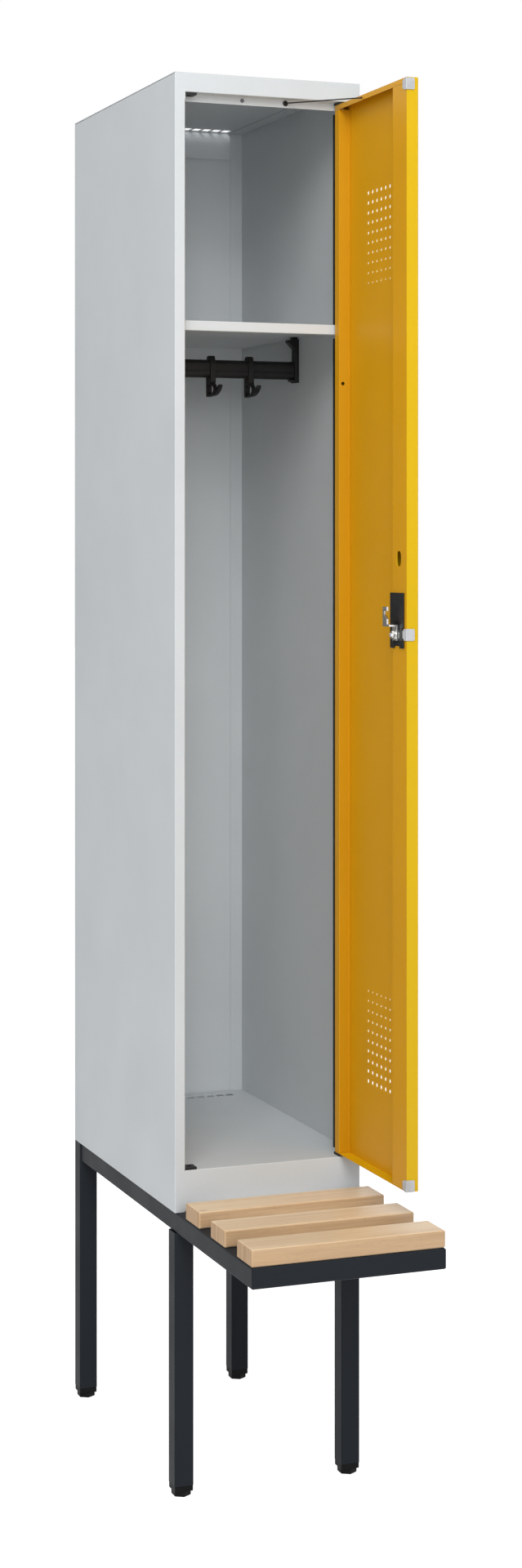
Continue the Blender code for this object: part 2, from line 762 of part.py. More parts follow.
def door_channels():
    low = DOOR_BOTTOM + SHEET + GAP
    high = DOOR_TOP - DOOR_LIP - GAP
    face = DOOR_THICKNESS - SHEET
    floor = SHEET + GAP
    start = DOOR_CORNER + GAP
    outline = [
        (start, face),
        (HINGE_CHANNEL - SHEET, face),
        (HINGE_CHANNEL - SHEET, floor),
        (HINGE_CHANNEL + HINGE_FLANGE, floor),
        (HINGE_CHANNEL + HINGE_FLANGE, floor + SHEET),
        (HINGE_CHANNEL, floor + SHEET),
        (HINGE_CHANNEL, DOOR_THICKNESS),
        (start, DOOR_THICKNESS),
    ]
    hinge = door_prism("door_channel_hinge", outline, low, high, DOOR_YELLOW)
    x, y = on_door(HINGE_CHANNEL + OVERRUN, CHANNEL_HOLE_DEPTH)
    start = (x, y, DOOR_TOP - CHANNEL_HOLE_FROM_TOP)
    cut(hinge, rod("channel_hole", start, 2 * OVERRUN, CHANNEL_HOLE, "Y"))
    turn_about(hinge, pivot_point(low))
    inner = DOOR_WIDTH - LOCK_CHANNEL
    end = DOOR_WIDTH - SHEET - GAP
    outline = [
        (inner, floor),
        (inner + WELD_FLANGE, floor),
        (inner + WELD_FLANGE, floor + SHEET),
        (inner + SHEET, floor + SHEET),
        (inner + SHEET, face),
        (end, face),
        (end, DOOR_THICKNESS),
        (inner, DOOR_THICKNESS),
    ]
    lock_side = door_prism("door_channel_lock", outline, low, high, DOOR_YELLOW)
    cut(lock_side, oblong_opening(face))
    plate_low = LOCK_HEIGHT - LOCK_PLATE_BELOW
    opening = door_box(
        "lock_opening", LOCK_U - LOCK_NOTCH_WIDTH / 2, LOCK_U + LOCK_NOTCH_WIDTH / 2,
        SHEET + OVERRUN, DOOR_THICKNESS + OVERRUN,
        plate_low + OVERRUN, plate_low + LOCK_NOTCH_HEIGHT,
    )
    cut(lock_side, opening)
    turn_about(lock_side, pivot_point(low))


def oblong_opening(face):
    u = DOOR_WIDTH - OBLONG_FROM_EDGE
    height = LOCK_HEIGHT + OBLONG_ABOVE_LOCK
    outline = oval(u, height, OBLONG_WIDTH, OBLONG_HEIGHT, ROUND_SIDES // 2)
    rings = []
    for w in (face - OVERRUN, DOOR_THICKNESS + OVERRUN):
        rings.append([(*on_door(a, w), b) for a, b in outline])
    return prism("oblong_opening", rings)


def hinge_pins():
    past_top = OPENING_TOP + SHEET + PIN_PAST_SHEET
    past_floor = FLOOR_TOP - SHEET - PIN_PAST_SHEET
    spans = (
        ("hinge_pin_upper", DOOR_TOP - SHEET - PIN_INSIDE, past_top,
         DOOR_TOP - SHEET - GAP - COLLAR_THICKNESS),
        ("hinge_pin_lower", past_floor, DOOR_BOTTOM + SHEET + PIN_INSIDE,
         DOOR_BOTTOM + SHEET + GAP),
    )
    for name, low, high, collar_low in spans:
        pin = rod(name, pivot_point(low), high - low, PIN_DIAMETER, "Z", STEEL)
        start = pivot_point(collar_low)
        collar = rod(name + "_collar", start, COLLAR_THICKNESS, COLLAR_DIAMETER, "Z")
        fuse(pin, collar)
        turn_about(pin, pivot_point(low))


def lock_plate():
    low = LOCK_HEIGHT - LOCK_PLATE_BELOW
    high = low + LOCK_PLATE_HEIGHT
    w0 = DOOR_THICKNESS + GAP
    w1 = w0 + LOCK_PLATE_THICKNESS
    u0 = LOCK_U - LOCK_PLATE_WIDTH / 2
    u1 = u0 + LOCK_PLATE_WIDTH
    plate = door_box("lock_plate", u0, u1, w0, w1, low, high, BLACK_PLASTIC)
    left = LOCK_U - LOCK_NOTCH_WIDTH / 2
    right = LOCK_U + LOCK_NOTCH_WIDTH / 2
    cut(plate, door_box("lock_plate_sink", left, right, w0 + LOCK_RECESS_FLOOR, w1 + OVERRUN,
                        low - OVERRUN, low + LOCK_NOTCH_HEIGHT))
    cut(plate, door_box("lock_plate_notch", left, right, w0 - OVERRUN, w1 + OVERRUN,
                        low - OVERRUN, low + LOCK_RECESS_OPEN))
    cut(plate, door_rod("lock_plate_bore", LOCK_U, w0 - OVERRUN, w1 + OVERRUN,
                        LOCK_HEIGHT, BARREL_HOLE))
    buffer_low = LOCK_HEIGHT - BUFFER_BELOW_LOCK
    recess = door_box(
        "lock_plate_recess", DOOR_WIDTH - BUFFER_ON_FACE - GAP, u1 + OVERRUN,
        w0 - OVERRUN, w1 + OVERRUN, buffer_low - GAP, buffer_low + BUFFER_HEIGHT + GAP,
    )
    cut(plate, recess)
    return turn_about(plate, pivot_point(low))


def lock_inner_end():
    return DOOR_THICKNESS + GAP + LOCK_PLATE_THICKNESS + BARREL_PAST_PLATE


def lock_barrel():
    inner = lock_inner_end()
    head = -GAP - BARREL_HEAD_THICKNESS
    body = door_rod("lock_barrel", LOCK_U, -GAP - BARREL_HEAD_THICKNESS / 2, inner,
                    LOCK_HEIGHT, BARREL_DIAMETER, NICKEL, 2 * ROUND_SIDES)
    rose = door_rod("lock_rose", LOCK_U, head, -GAP, LOCK_HEIGHT, BARREL_HEAD_DIAMETER,
                    None, 2 * ROUND_SIDES)
    fuse(body, rose)
    bore = door_rod("lock_bore", LOCK_U, head - OVERRUN, inner + OVERRUN, LOCK_HEIGHT, CORE_HOLE)
    cut(body, bore)
    return turn_about(body, pivot_point(LOCK_HEIGHT))


def lock_axis(w):
    return Vector((*on_door(LOCK_U, w), LOCK_HEIGHT))


def lock_core():
    inner = lock_inner_end() + CORE_STEP
    outer = -GAP - BARREL_HEAD_THICKNESS - CORE_PROUD
    core = door_rod("lock_core", LOCK_U, outer, inner, LOCK_HEIGHT, CORE_DIAMETER, STEEL)
    spindle = door_rod("lock_spindle", LOCK_U, inner - SHEET, inner + SPINDLE_REACH,
                       LOCK_HEIGHT, CORE_SPINDLE, None, ROUND_SIDES // 2)
    fuse(core, spindle)
    keyway = door_box(
        "keyway", LOCK_U - KEYWAY_WIDTH / 2, LOCK_U + KEYWAY_WIDTH / 2,
        outer - OVERRUN, outer + KEYWAY_DEPTH,
        LOCK_HEIGHT - KEYWAY_HEIGHT / 2, LOCK_HEIGHT + KEYWAY_HEIGHT / 2,
    )
    cut(core, keyway)
    return turn_about(core, lock_axis(0))


def lock_cam():
    """A cranked hook cam: foot on the spindle, step away from the door, hooked tip."""
    w0 = lock_inner_end() + CORE_STEP + GAP
    w1 = w0 + CAM_THICKNESS
    w2 = w0 + CAM_OFFSET
    reach = cam_reach()
    profile = [
        (w0, -CAM_FOOT),
        (w1, -CAM_FOOT),
        (w1, CAM_RISE - CAM_THICKNESS),
        (w2, CAM_RISE - CAM_THICKNESS),
        (w2, reach),
        (w2 - CAM_THICKNESS, reach),
        (w2 - CAM_THICKNESS, CAM_RISE),
        (w0, CAM_RISE),
    ]
    u0, u1 = LOCK_U - CAM_TIP_WIDTH, LOCK_U + CAM_HALF_WIDTH
    rings = []
    for u in (u0, u1):
        rings.append([(*on_door(u, w), LOCK_HEIGHT + z) for w, z in profile])
    cam = prism("lock_cam", rings, NICKEL)
    foot_trim = door_box(
        "cam_foot_trim", u0 - OVERRUN, LOCK_U - CAM_HALF_WIDTH, w0 - OVERRUN, w1 + GAP,
        LOCK_HEIGHT - CAM_FOOT - OVERRUN, LOCK_HEIGHT + CAM_RISE - CAM_THICKNESS - GAP,
    )
    cut(cam, foot_trim)
    tip_trim = door_box(
        "cam_tip_trim", LOCK_U, u1 + OVERRUN, w2 - CAM_THICKNESS - GAP, w2 + OVERRUN,
        LOCK_HEIGHT + CAM_RISE + GAP, LOCK_HEIGHT + reach + OVERRUN,
    )
    cut(cam, tip_trim)
    high = LOCK_HEIGHT + reach - CAM_HOOK
    middle = high - CAM_NOTCH_HEIGHT
    low = middle - CAM_NOTCH_SLOPE
    bay = [
        (LOCK_U + OVERRUN, low),
        (LOCK_U, low),
        (LOCK_U - CAM_NOTCH_DEPTH, middle),
        (LOCK_U - CAM_NOTCH_DEPTH, high),
        (LOCK_U + OVERRUN, high),
    ]
    rings = []
    for w in (w2 - 2 * CAM_THICKNESS, w2 + OVERRUN):
        rings.append([(*on_door(u, w), z) for u, z in bay])
    cut(cam, prism("cam_notch", rings))
    cut(cam, door_rod("cam_hole", LOCK_U, w0 - OVERRUN, w1 + OVERRUN, LOCK_HEIGHT, CAM_HOLE,
                      None, ROUND_SIDES // 2))
    return turn_about(cam, lock_axis(w0))


def cam_nut():
    w0 = lock_inner_end() + CORE_STEP + GAP + CAM_THICKNESS + GAP
    w1 = w0 + NUT_THICKNESS
    nut = door_rod("cam_nut", LOCK_U, w0, w1, LOCK_HEIGHT, NUT_ACROSS, NICKEL, ROUND_SIDES // 2)
    cut(nut, door_rod("nut_hole", LOCK_U, w0 - OVERRUN, w1 + OVERRUN, LOCK_HEIGHT, CAM_HOLE,
                      None, ROUND_SIDES // 2))
    return turn_about(nut, lock_axis(w0))


def edge_buffers():
    edge_buffer("edge_buffer_lower", DOOR_BOTTOM)
    edge_buffer("edge_buffer_middle", LOCK_HEIGHT - BUFFER_BELOW_LOCK)
    edge_buffer("edge_buffer_upper", DOOR_TOP - BUFFER_BELOW_TOP)


def edge_buffer(name, low):
    start = DOOR_WIDTH - BUFFER_ON_FACE
    face = DOOR_THICKNESS + GAP
    edge = DOOR_WIDTH + GAP
    high = low + BUFFER_HEIGHT
    outline = [
        (start, face),
        (edge, face),
        (edge, DOOR_THICKNESS - BUFFER_ON_EDGE),
        (edge + BUFFER_THICKNESS, DOOR_THICKNESS - BUFFER_ON_EDGE),
        (edge + BUFFER_THICKNESS, face + BUFFER_THICKNESS),
        (start, face + BUFFER_THICKNESS),
    ]
    buffer = door_prism(name, outline, low, high, PALE_PLASTIC)
    cut(buffer, buffer_corners(name, low, high, start))
    turn_about(buffer, pivot_point(low))


def buffer_corners(name, low, high, start):
    """Two wedges that chamfer the buffer's inner corners."""
    wedges = []
    for height, sign in ((low, 1), (high, -1)):
        corner = [
            (start - OVERRUN, height - sign * OVERRUN),
            (start + BUFFER_CHAMFER + OVERRUN, height - sign * OVERRUN),
            (start - OVERRUN, height + sign * (BUFFER_CHAMFER + OVERRUN)),
        ]
        rings = []
        for w in (DOOR_THICKNESS - SHEET, DOOR_THICKNESS + OVERRUN):
            rings.append([(*on_door(a, w), b) for a, b in corner])
        wedges.append(prism(name + "_wedge", rings))
    return joined(name + "_corners", wedges)


def stop_button(name, x, head, look):
    """A round-headed plastic button in the stop face of the front rail."""
    stop = FRONT + STOP_DEPTH
    front = stop - GAP - STAY_HEAD_THICKNESS
    button = rod(name, (x, front, STAY_HEIGHT), STAY_HEAD_THICKNESS, head, "Y", look)
    start = (x, front + STAY_HEAD_THICKNESS / 2, STAY_HEIGHT)
    length = STAY_HEAD_THICKNESS / 2 + GAP + SHEET + STAY_BEHIND
    return fuse(button, rod(name + "_stem", start, length, STAY_STEM, "Y"))


def stay_grommet():
    x = RIGHT - STAY_FROM_RIGHT
    grommet = stop_button("stay_grommet", x, STAY_HEAD_DIAMETER, BLACK_PLASTIC)
    start = (x, FRONT + STOP_DEPTH - OVERRUN, STAY_HEIGHT)
    length = SHEET + STAY_BEHIND + 2 * OVERRUN
    return cut(grommet, rod("stay_bore", start, length, STAY_BORE, "Y"))


def hole_plug():
    return stop_button("hole_plug", LEFT + STAY_FROM_RIGHT, PLUG_DIAMETER, GREY_PLASTIC)


def bend(start, corner, end):
    """Points of a smooth turn from start to end round a corner."""
    points = []
    for i in range(CORD_TURN_STEPS + 1):
        share = i / CORD_TURN_STEPS
        near = start.lerp(corner, share)
        points.append(near.lerp(corner.lerp(end, share), share))
    return points


def cord_path():
    """The cord's points, from the bead behind the front rail to the bead behind the door lip."""
    x = RIGHT - STAY_FROM_RIGHT
    stop = FRONT + STOP_DEPTH
    inside = stop + SHEET + STAY_BEHIND + GAP
    outside = stop - GAP - STAY_HEAD_THICKNESS
    lip_x, lip_y = on_door(CORD_SLOT_U, DOOR_THICKNESS - SHEET / 2)
    lip = Vector((lip_x, lip_y, DOOR_TOP - DOOR_LIP / 2))
    corner = Vector((x, outside - CORD_TURN, STAY_HEIGHT))
    run = (lip - corner).normalized()
    first = [
        Vector((x, inside + CORD_BEAD_LENGTH, STAY_HEIGHT)),
        Vector((x, inside, STAY_HEIGHT)),
        Vector((x, inside - GAP, STAY_HEIGHT)),
    ]
    turn = bend(Vector((x, outside, STAY_HEIGHT)), corner, corner + run * CORD_TURN)
    bead = lip + run * CORD_BEYOND_LIP
    return [*first, *turn, lip, bead - run * GAP, bead, bead + run * CORD_BEAD_LENGTH]


def stay_cord():
    points = cord_path()
    curve = bpy.data.curves.new("stay_cord", "CURVE")
    curve.dimensions = "3D"
    curve.bevel_depth = CORD_DIAMETER / 2
    curve.bevel_resolution = 2
    curve.use_fill_caps = True
    spline = curve.splines.new("POLY")
    spline.points.add(len(points) - 1)
    for point, place in zip(spline.points, points):
        point.co = (*place, 1)
    for i in (0, 1, -2, -1):
        spline.points[i].radius = CORD_BEAD_DIAMETER / CORD_DIAMETER
    curve.materials.append(paint("stay_cord", BLACK_PLASTIC))
    cord = bpy.data.objects.new("stay_cord", curve)
    bpy.context.scene.collection.objects.link(cord)
    return cord


def hook_rail():
    half = RIGHT - SHEET - 2 * GAP - BRACKET_THICKNESS
    y = FRONT + HOOK_RAIL_DEPTH
    steps = ROUND_SIDES // 2
    outer = oval(y, HOOK_RAIL_CENTRE, HOOK_RAIL_THICKNESS, HOOK_RAIL_HEIGHT, steps)
    rail = side_prism("hook_rail", outer, -half, half, BLACK_PLASTIC)
    smooth(rail)
    width = HOOK_RAIL_THICKNESS - 2 * HOOK_RAIL_WALL
    height = HOOK_RAIL_HEIGHT - 2 * HOOK_RAIL_WALL
    inner = oval(y, HOOK_RAIL_CENTRE, width, height, steps)
    return cut(rail, side_prism("hook_rail_bore", inner, -half - OVERRUN, half + OVERRUN))


def rail_bracket(side, sign):
    """A wall bracket with a cup and ledge for the rail and a lug under the shelf."""
    wall = sign * (RIGHT - SHEET - GAP)
    face = wall - sign * BRACKET_THICKNESS
    y = FRONT + HOOK_RAIL_DEPTH
    z = HOOK_RAIL_CENTRE
    front = y - BRACKET_HALF_DEPTH
    neck = SHELF_TOP - SHELF_SIDE_RIM - GAP
    under = SHELF_TOP - SHEET - GAP
    tab = wall - sign * (SHEET + BRACKET_TAB_SETBACK)
    name = "rail_bracket_" + side

    def part(label, x0, x1, y1, low, high, look=None):
        near = (min(x0, x1), front, low)
        far = (max(x0, x1), y1, high)
        return box(name + label, near, far, look)

    bracket = part("", wall, face, y + BRACKET_HALF_DEPTH, z - BRACKET_FOOT_DROP,
                   z + BRACKET_CUP_TOP, BLACK_PLASTIC)
    fuse(bracket, part("_neck", wall, face, y + BRACKET_COLUMN_BACK, z, neck))
    tab_face = face - sign * BRACKET_TAB_REACH
    fuse(bracket, part("_tab", tab, tab_face, y + BRACKET_COLUMN_BACK,
                       neck - SHEET - BRACKET_LUG_FALL / 4, under))
    lug_top = neck - SHEET
    lug = [
        (face + sign * SHEET, lug_top),
        (face - sign * BRACKET_LUG_REACH, lug_top),
        (face - sign * BRACKET_LUG_REACH, lug_top - BRACKET_LUG_FALL / 2),
        (face + sign * SHEET, lug_top - 2 * BRACKET_LUG_FALL),
    ]
    fuse(bracket, front_prism(name + "_lug", lug, front, y + BRACKET_COLUMN_BACK))
    bottom = z - HOOK_RAIL_HEIGHT / 2 - GAP
    reach = face - sign * LEDGE_REACH
    inside = face + sign * SHEET
    fuse(bracket, part("_ledge", inside, reach, y + BRACKET_COLUMN_BACK,
                       bottom - LEDGE_THICKNESS, bottom))
    return bracket


def hook_outline():
    """Outer outline of a coat hook, front to the left, measured from the rail's centre."""
    side = HOOK_RAIL_THICKNESS / 2 + HOOK_CLEARANCE + HOOK_WALL
    shoulder = HOOK_RAIL_HEIGHT / 2 - HOOK_RAIL_THICKNESS / 2 + side / 2
    neck = HOOK_RAIL_HEIGHT / 2
    elbow = (HOOK_FOOT + HOOK_RAIL_HEIGHT / 2) / 2
    return [
        (-HOOK_CAP_HALF, HOOK_CAP),
        (HOOK_CAP_HALF, HOOK_CAP),
        (side, shoulder),
        (side, -HOOK_FOOT),
        (-side / 2, -HOOK_FOOT),
        (-HOOK_BULGE, -HOOK_FOOT + HOOK_WALL),
        (-(HOOK_BULGE + HOOK_TIP) / 2, -HOOK_FOOT + 2 * HOOK_WALL),
        (-HOOK_TIP, -HOOK_TIP_HEIGHT),
        (-HOOK_TIP + HOOK_WALL, -HOOK_TIP_HEIGHT + HOOK_WALL / 2),
        (-(HOOK_BULGE + HOOK_TIP) / 2, -HOOK_FOOT + 4 * HOOK_WALL),
        (-HOOK_BULGE, -HOOK_FOOT + 3 * HOOK_WALL),
        (-HOOK_BULGE, -elbow),
        (-side, -neck - HOOK_WALL),
        (-side, shoulder),
    ]


def coat_hook(name, x):
    y = FRONT + HOOK_RAIL_DEPTH
    z = HOOK_RAIL_CENTRE
    left, right = x - HOOK_WIDTH / 2, x + HOOK_WIDTH / 2
    outline = [(y + a, z + b) for a, b in hook_outline()]
    hook = side_prism(name, outline, left, right, BLACK_PLASTIC)
    width = HOOK_RAIL_THICKNESS + 2 * HOOK_CLEARANCE
    height = HOOK_RAIL_HEIGHT + 2 * HOOK_CLEARANCE
    bore = oval(y, z, width, height, ROUND_SIDES // 2)
    cut(hook, side_prism(name + "_bore", bore, left - OVERRUN, right + OVERRUN))
    side = width / 2
    ceiling = z - height / 2 - HOOK_WALL
    floor = z - HOOK_FOOT + HOOK_WALL
    elbow = z - (HOOK_FOOT + HOOK_RAIL_HEIGHT / 2) / 2 - HOOK_WALL / 2
    loop = [
        (y + side, ceiling),
        (y + side, floor),
        (y - side, floor),
        (y - HOOK_BULGE + HOOK_WALL, floor + HOOK_WALL),
        (y - HOOK_BULGE + HOOK_WALL, elbow),
        (y - side, ceiling),
    ]
    cut(hook, side_prism(name + "_loop", loop, left - OVERRUN, right + OVERRUN))
    return turn_about(hook, (x, y, z))


def coat_hooks():
    for i, label in enumerate(("left", "middle", "right")):
        coat_hook("coat_hook_" + label, (i - (HOOK_COUNT - 1) / 2) * HOOK_PITCH)


def square(centre_a, centre_b, size, corner):
    """Corner points of a square section with bevelled edges."""
    half = size / 2
    inner = half - corner
    points = []
    for a, b in ((half, inner), (inner, half), (-inner, half), (-half, inner),
                 (-half, -inner), (-inner, -half), (inner, -half), (half, -inner)):
        points.append((centre_a + a, centre_b + b))
    return points


def hollow_out(tube, name, rings):
    return cut(tube, prism(name + "_bore", rings))


def leg(name, x, y, high):
    low = FOOT_DROP
    outer = square(x, y, TUBE, TUBE_CORNER)
    inner = square(x, y, TUBE - 2 * TUBE_WALL, TUBE_CORNER / 2)
    tube = plan_prism(name, outer, low, high, FRAME_GREY)
    return cut(tube, plan_prism(name + "_bore", inner, low - OVERRUN, high + OVERRUN))


def legs():
    rear_high = BODY_BOTTOM
    front_high = BODY_BOTTOM - TUBE - GAP
    for place, y, high in (
        ("front", FRONT + TUBE / 2, front_high),
        ("rear", BACK - TUBE / 2, rear_high),
    ):
        for side, sign in (("left", -1), ("right", 1)):
            x = sign * (RIGHT - TUBE / 2)
            name = "leg_" + place + "_" + side
            leg(name, x, y, high)
            insert(name.replace("leg", "tube_insert"), x, y)
            levelling_foot(name.replace("leg", "levelling_foot"), x, y)


def rail_sections(x):
    z = BODY_BOTTOM - TUBE / 2
    outer = square(x, z, TUBE, TUBE_CORNER)
    inner = square(x, z, TUBE - 2 * TUBE_WALL, TUBE_CORNER / 2)
    return outer, inner


def side_rail(name, sign):
    """A tube along the locker's depth, mitred at its front end."""
    x = sign * (RIGHT - RAIL_INSET - TUBE / 2)
    outer, inner = rail_sections(x)
    back = BACK - TUBE - GAP
    corner = sign * (RIGHT - RAIL_INSET)

    def front_end(section):
        return [(a, BENCH_FRONT + GAP + abs(corner - a), b) for a, b in section]

    rings = [front_end(outer), [(a, back, b) for a, b in outer]]
    rail = prism(name, rings, FRAME_GREY)
    near = [(a, b - OVERRUN, c) for a, b, c in front_end(inner)]
    far = [(a, back + OVERRUN, b) for a, b in inner]
    return hollow_out(rail, name, [near, far])


def cross_section(y):
    z = BODY_BOTTOM - TUBE / 2
    outer = square(y, z, TUBE, TUBE_CORNER)
    inner = square(y, z, TUBE - 2 * TUBE_WALL, TUBE_CORNER / 2)
    return outer, inner


def front_cross_rail():
    outer, inner = cross_section(BENCH_FRONT + TUBE / 2)
    half = RIGHT - RAIL_INSET - GAP

    def end(section, sign, beyond):
        return [(sign * (half - (a - BENCH_FRONT) + beyond), a, b) for a, b in section]

    rail = prism("cross_rail_front", [end(outer, -1, 0), end(outer, 1, 0)], FRAME_GREY)
    rings = [end(inner, -1, OVERRUN), end(inner, 1, OVERRUN)]
    return hollow_out(rail, "cross_rail_front", rings)


def rear_cross_rail():
    outer, inner = cross_section(BACK - TUBE / 2)
    half = RIGHT - TUBE - GAP
    rail = side_prism("cross_rail_rear", outer, -half, half, FRAME_GREY)
    bore = side_prism("cross_rail_rear_bore", inner, -half - OVERRUN, half + OVERRUN)
    return cut(rail, bore)


def seat_slats():
    low = BODY_BOTTOM + GAP
    high = BODY_BOTTOM + SLAT_THICKNESS
    half = RIGHT - RAIL_INSET
    for i, label in enumerate(("front", "middle", "rear")):
        front = BENCH_FRONT + SLAT_SETBACK + i * SLAT_PITCH
        slat = box("seat_slat_" + label, (-half, front, low), (half, front + SLAT_DEPTH, high),
                   SLAT_WOOD)
        bevel = slat.modifiers.new("rounded edges", "BEVEL")
        bevel.width = SLAT_ROUNDING
        bevel.segments = SLAT_ROUNDING_STEPS
        bevel.limit_method = "ANGLE"
        smooth(slat)


def insert(name, x, y):
    """A plastic end piece with a lip under the tube and a threaded bore for the foot."""
    lip_high = FOOT_DROP - GAP
    lip_low = FOOT_DROP - INSERT_LIP
    lip = square(x, y, TUBE - 2 * INSERT_SHRINK, TUBE_CORNER)
    piece = plan_prism(name, lip, lip_low, lip_high, BLACK_PLASTIC)
    plug = square(x, y, TUBE - 2 * TUBE_WALL - 2 * GAP, TUBE_CORNER)
    fuse(piece, plan_prism(name + "_plug", plug, lip_low + GAP, lip_high + INSERT_PLUG))
    start = (x, y, lip_low - OVERRUN)
    length = INSERT_LIP + INSERT_PLUG + 2 * OVERRUN
    return cut(piece, rod(name + "_bore", start, length, INSERT_THREAD_HOLE, "Z"))


def levelling_foot(name, x, y):
    """A hexagonal pad with a corner to the front and a bevelled rim, on a threaded stem."""
    pad_high = FOOT_DROP - INSERT_LIP - GAP
    turn = math.pi / FOOT_SIDES
    narrow = FOOT_CORNERS - 2 * FOOT_BEVEL
    rings = [
        ring_points((x, y, 0), narrow, FOOT_SIDES, "Z", turn),
        ring_points((x, y, FOOT_BEVEL), FOOT_CORNERS, FOOT_SIDES, "Z", turn),
        ring_points((x, y, pad_high), FOOT_CORNERS, FOOT_SIDES, "Z", turn),
    ]
    foot = prism(name, rings, BLACK_PLASTIC)
    stem = rod(name + "_stem", (x, y, pad_high / 2), FOOT_STEM_LENGTH, FOOT_STEM, "Z")
    fuse(foot, stem)
    return turn_about(foot, (x, y, 0))


def cabinet():
    side_panel("side_panel_left", "left")
    side_panel("side_panel_right", "right")
    back_panel()
    roof_panel()
    front_top_rail()
    floor_pan()
    shelf()
    edge_trims()
    bearing_blocks()
    stay_grommet()
    hole_plug()
    hook_rail()
    for side, sign in (("left", -1), ("right", 1)):
        rail_bracket(side, sign)
    coat_hooks()


def door():
    door_shell()
    door_channels()
    hinge_pins()
    lock_plate()
    lock_barrel()
    lock_core()
    lock_cam()
    cam_nut()
    edge_buffers()
    stay_cord()


def bench():
    legs()
    for side, sign in (("left", -1), ("right", 1)):
        side_rail("side_rail_" + side, sign)
    front_cross_rail()
    rear_cross_rail()
    seat_slats()


clear_scene()
cabinet()
door()
bench()
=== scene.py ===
import json
import math

import bmesh
import bpy
from mathutils import Matrix, Vector


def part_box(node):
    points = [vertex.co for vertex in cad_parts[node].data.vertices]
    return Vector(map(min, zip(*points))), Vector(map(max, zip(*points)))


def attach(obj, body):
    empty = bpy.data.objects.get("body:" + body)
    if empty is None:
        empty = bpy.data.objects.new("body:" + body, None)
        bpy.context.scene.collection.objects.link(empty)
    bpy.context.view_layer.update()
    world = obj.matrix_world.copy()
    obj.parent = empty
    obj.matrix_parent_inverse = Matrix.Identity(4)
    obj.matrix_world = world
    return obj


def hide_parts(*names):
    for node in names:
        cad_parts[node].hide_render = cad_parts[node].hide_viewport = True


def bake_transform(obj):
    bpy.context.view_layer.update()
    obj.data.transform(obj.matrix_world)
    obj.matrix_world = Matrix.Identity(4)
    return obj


MM = 0.001

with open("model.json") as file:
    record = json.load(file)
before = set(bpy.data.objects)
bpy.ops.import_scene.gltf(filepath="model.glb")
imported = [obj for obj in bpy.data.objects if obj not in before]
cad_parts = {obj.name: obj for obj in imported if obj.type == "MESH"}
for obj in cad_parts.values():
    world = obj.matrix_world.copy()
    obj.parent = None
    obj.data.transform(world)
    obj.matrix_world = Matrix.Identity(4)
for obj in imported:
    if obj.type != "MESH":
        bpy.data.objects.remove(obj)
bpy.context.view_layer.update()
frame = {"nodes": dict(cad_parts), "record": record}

# Which body and which finish each solid of the locker has
BODIES = frame["record"]["behaviour"]["bodies"]
BODY_OF = {node: body for body, nodes in BODIES.items() for node in nodes}
SLOT_OF = {part["node"]: part["material_slot"] for part in frame["record"]["subparts"]}

FRAME_CORNERS = ("front_left", "front_right", "rear_left", "rear_right")

# Camera, as the photograph was taken: lens and sensor in millimetres, shift as shares of the sensor
CAMERA_PLACE = (-1.4160, -3.6524, 1.4211)
CAMERA_TURN = math.radians(20.16)
CAMERA_LENS = 58.218
CAMERA_SENSOR = 36
CAMERA_SHIFT = (0.0389, -0.1529)
CAMERA_RANGE = (0.1, 100)

# Merging and edge work on the solids; a face wider than SHEET_WIDTH isn't the edge of a sheet
WELD = 0.002 * MM
FLAT = math.radians(0.6)
CORNER = math.radians(32)
SHEET = 1.0 * MM
SHEET_WIDTH = 1.6 * MM
GAP = 0.3 * MM
EASE_SEGMENTS = 3
EASE_STEPS = 4
TURNED_SIDES = 40

# Bends of the sheet steel; corners shorter than FOLD_LENGTH stay sharp
FOLD_OUTSIDE = 1.3 * MM
FOLD_INSIDE = 0.4 * MM
FOLD_LENGTH = 62 * MM
DOOR_FOLD_LENGTH = 150 * MM
FOLD_SEGMENTS = 4

# Painted weld seams on the front of the body
STILE_WIDTH = 16.2 * MM
SEAM_DEPTH = 1.2 * MM

# Perforation of the door skin, and how the coarse one of the CAD solid is told apart
HOLE_COLUMNS = 6
HOLE_ROWS = 10
HOLE_PITCH_ACROSS = 15.6 * MM
HOLE_PITCH_UP = 15.05 * MM
HOLE_LARGEST = 6.2 * MM
HOLE_SMALLEST = 3.6 * MM
HOLE_FIRST_FROM_HINGE = 87.6 * MM
HOLE_FIELD_FROM_TOP = 143.2 * MM
HOLE_FIELD_FROM_FOOT = 123.9 * MM
HOLE_SIDES = 20
PUNCH_DEPTH = 6 * MM
SMALL_FACE = 6 * MM * MM
CLEAR_OF_LOCK = 60 * MM
CLEAR_OF_ENDS = 40 * MM


def low_high(node):
    low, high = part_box(node)
    return Vector(low), Vector(high)


def middle_of(node):
    low, high = low_high(node)
    return (low + high) / 2


# Node tools
def add(tree, kind, inputs=None, **settings):
    """A node with its settings, each input linked to a socket or set to a value."""
    node = tree.nodes.new(kind)
    for key, value in settings.items():
        setattr(node, key, value)
    for key, value in (inputs or {}).items():
        if isinstance(value, bpy.types.NodeSocket):
            tree.links.new(value, node.inputs[key])
        else:
            node.inputs[key].default_value = value
    return node


def calculated(tree, operation, first, second=0.0):
    return add(tree, "ShaderNodeMath", {0: first, 1: second}, operation=operation).outputs[0]


# Shader tools


def new_look(name, roughness, metallic=0.0):
    material = bpy.data.materials.new(name)
    material.use_nodes = True
    tree = material.node_tree
    shader = tree.nodes["Principled BSDF"]
    shader.inputs["Roughness"].default_value = roughness
    shader.inputs["Metallic"].default_value = metallic
    return material, tree, shader


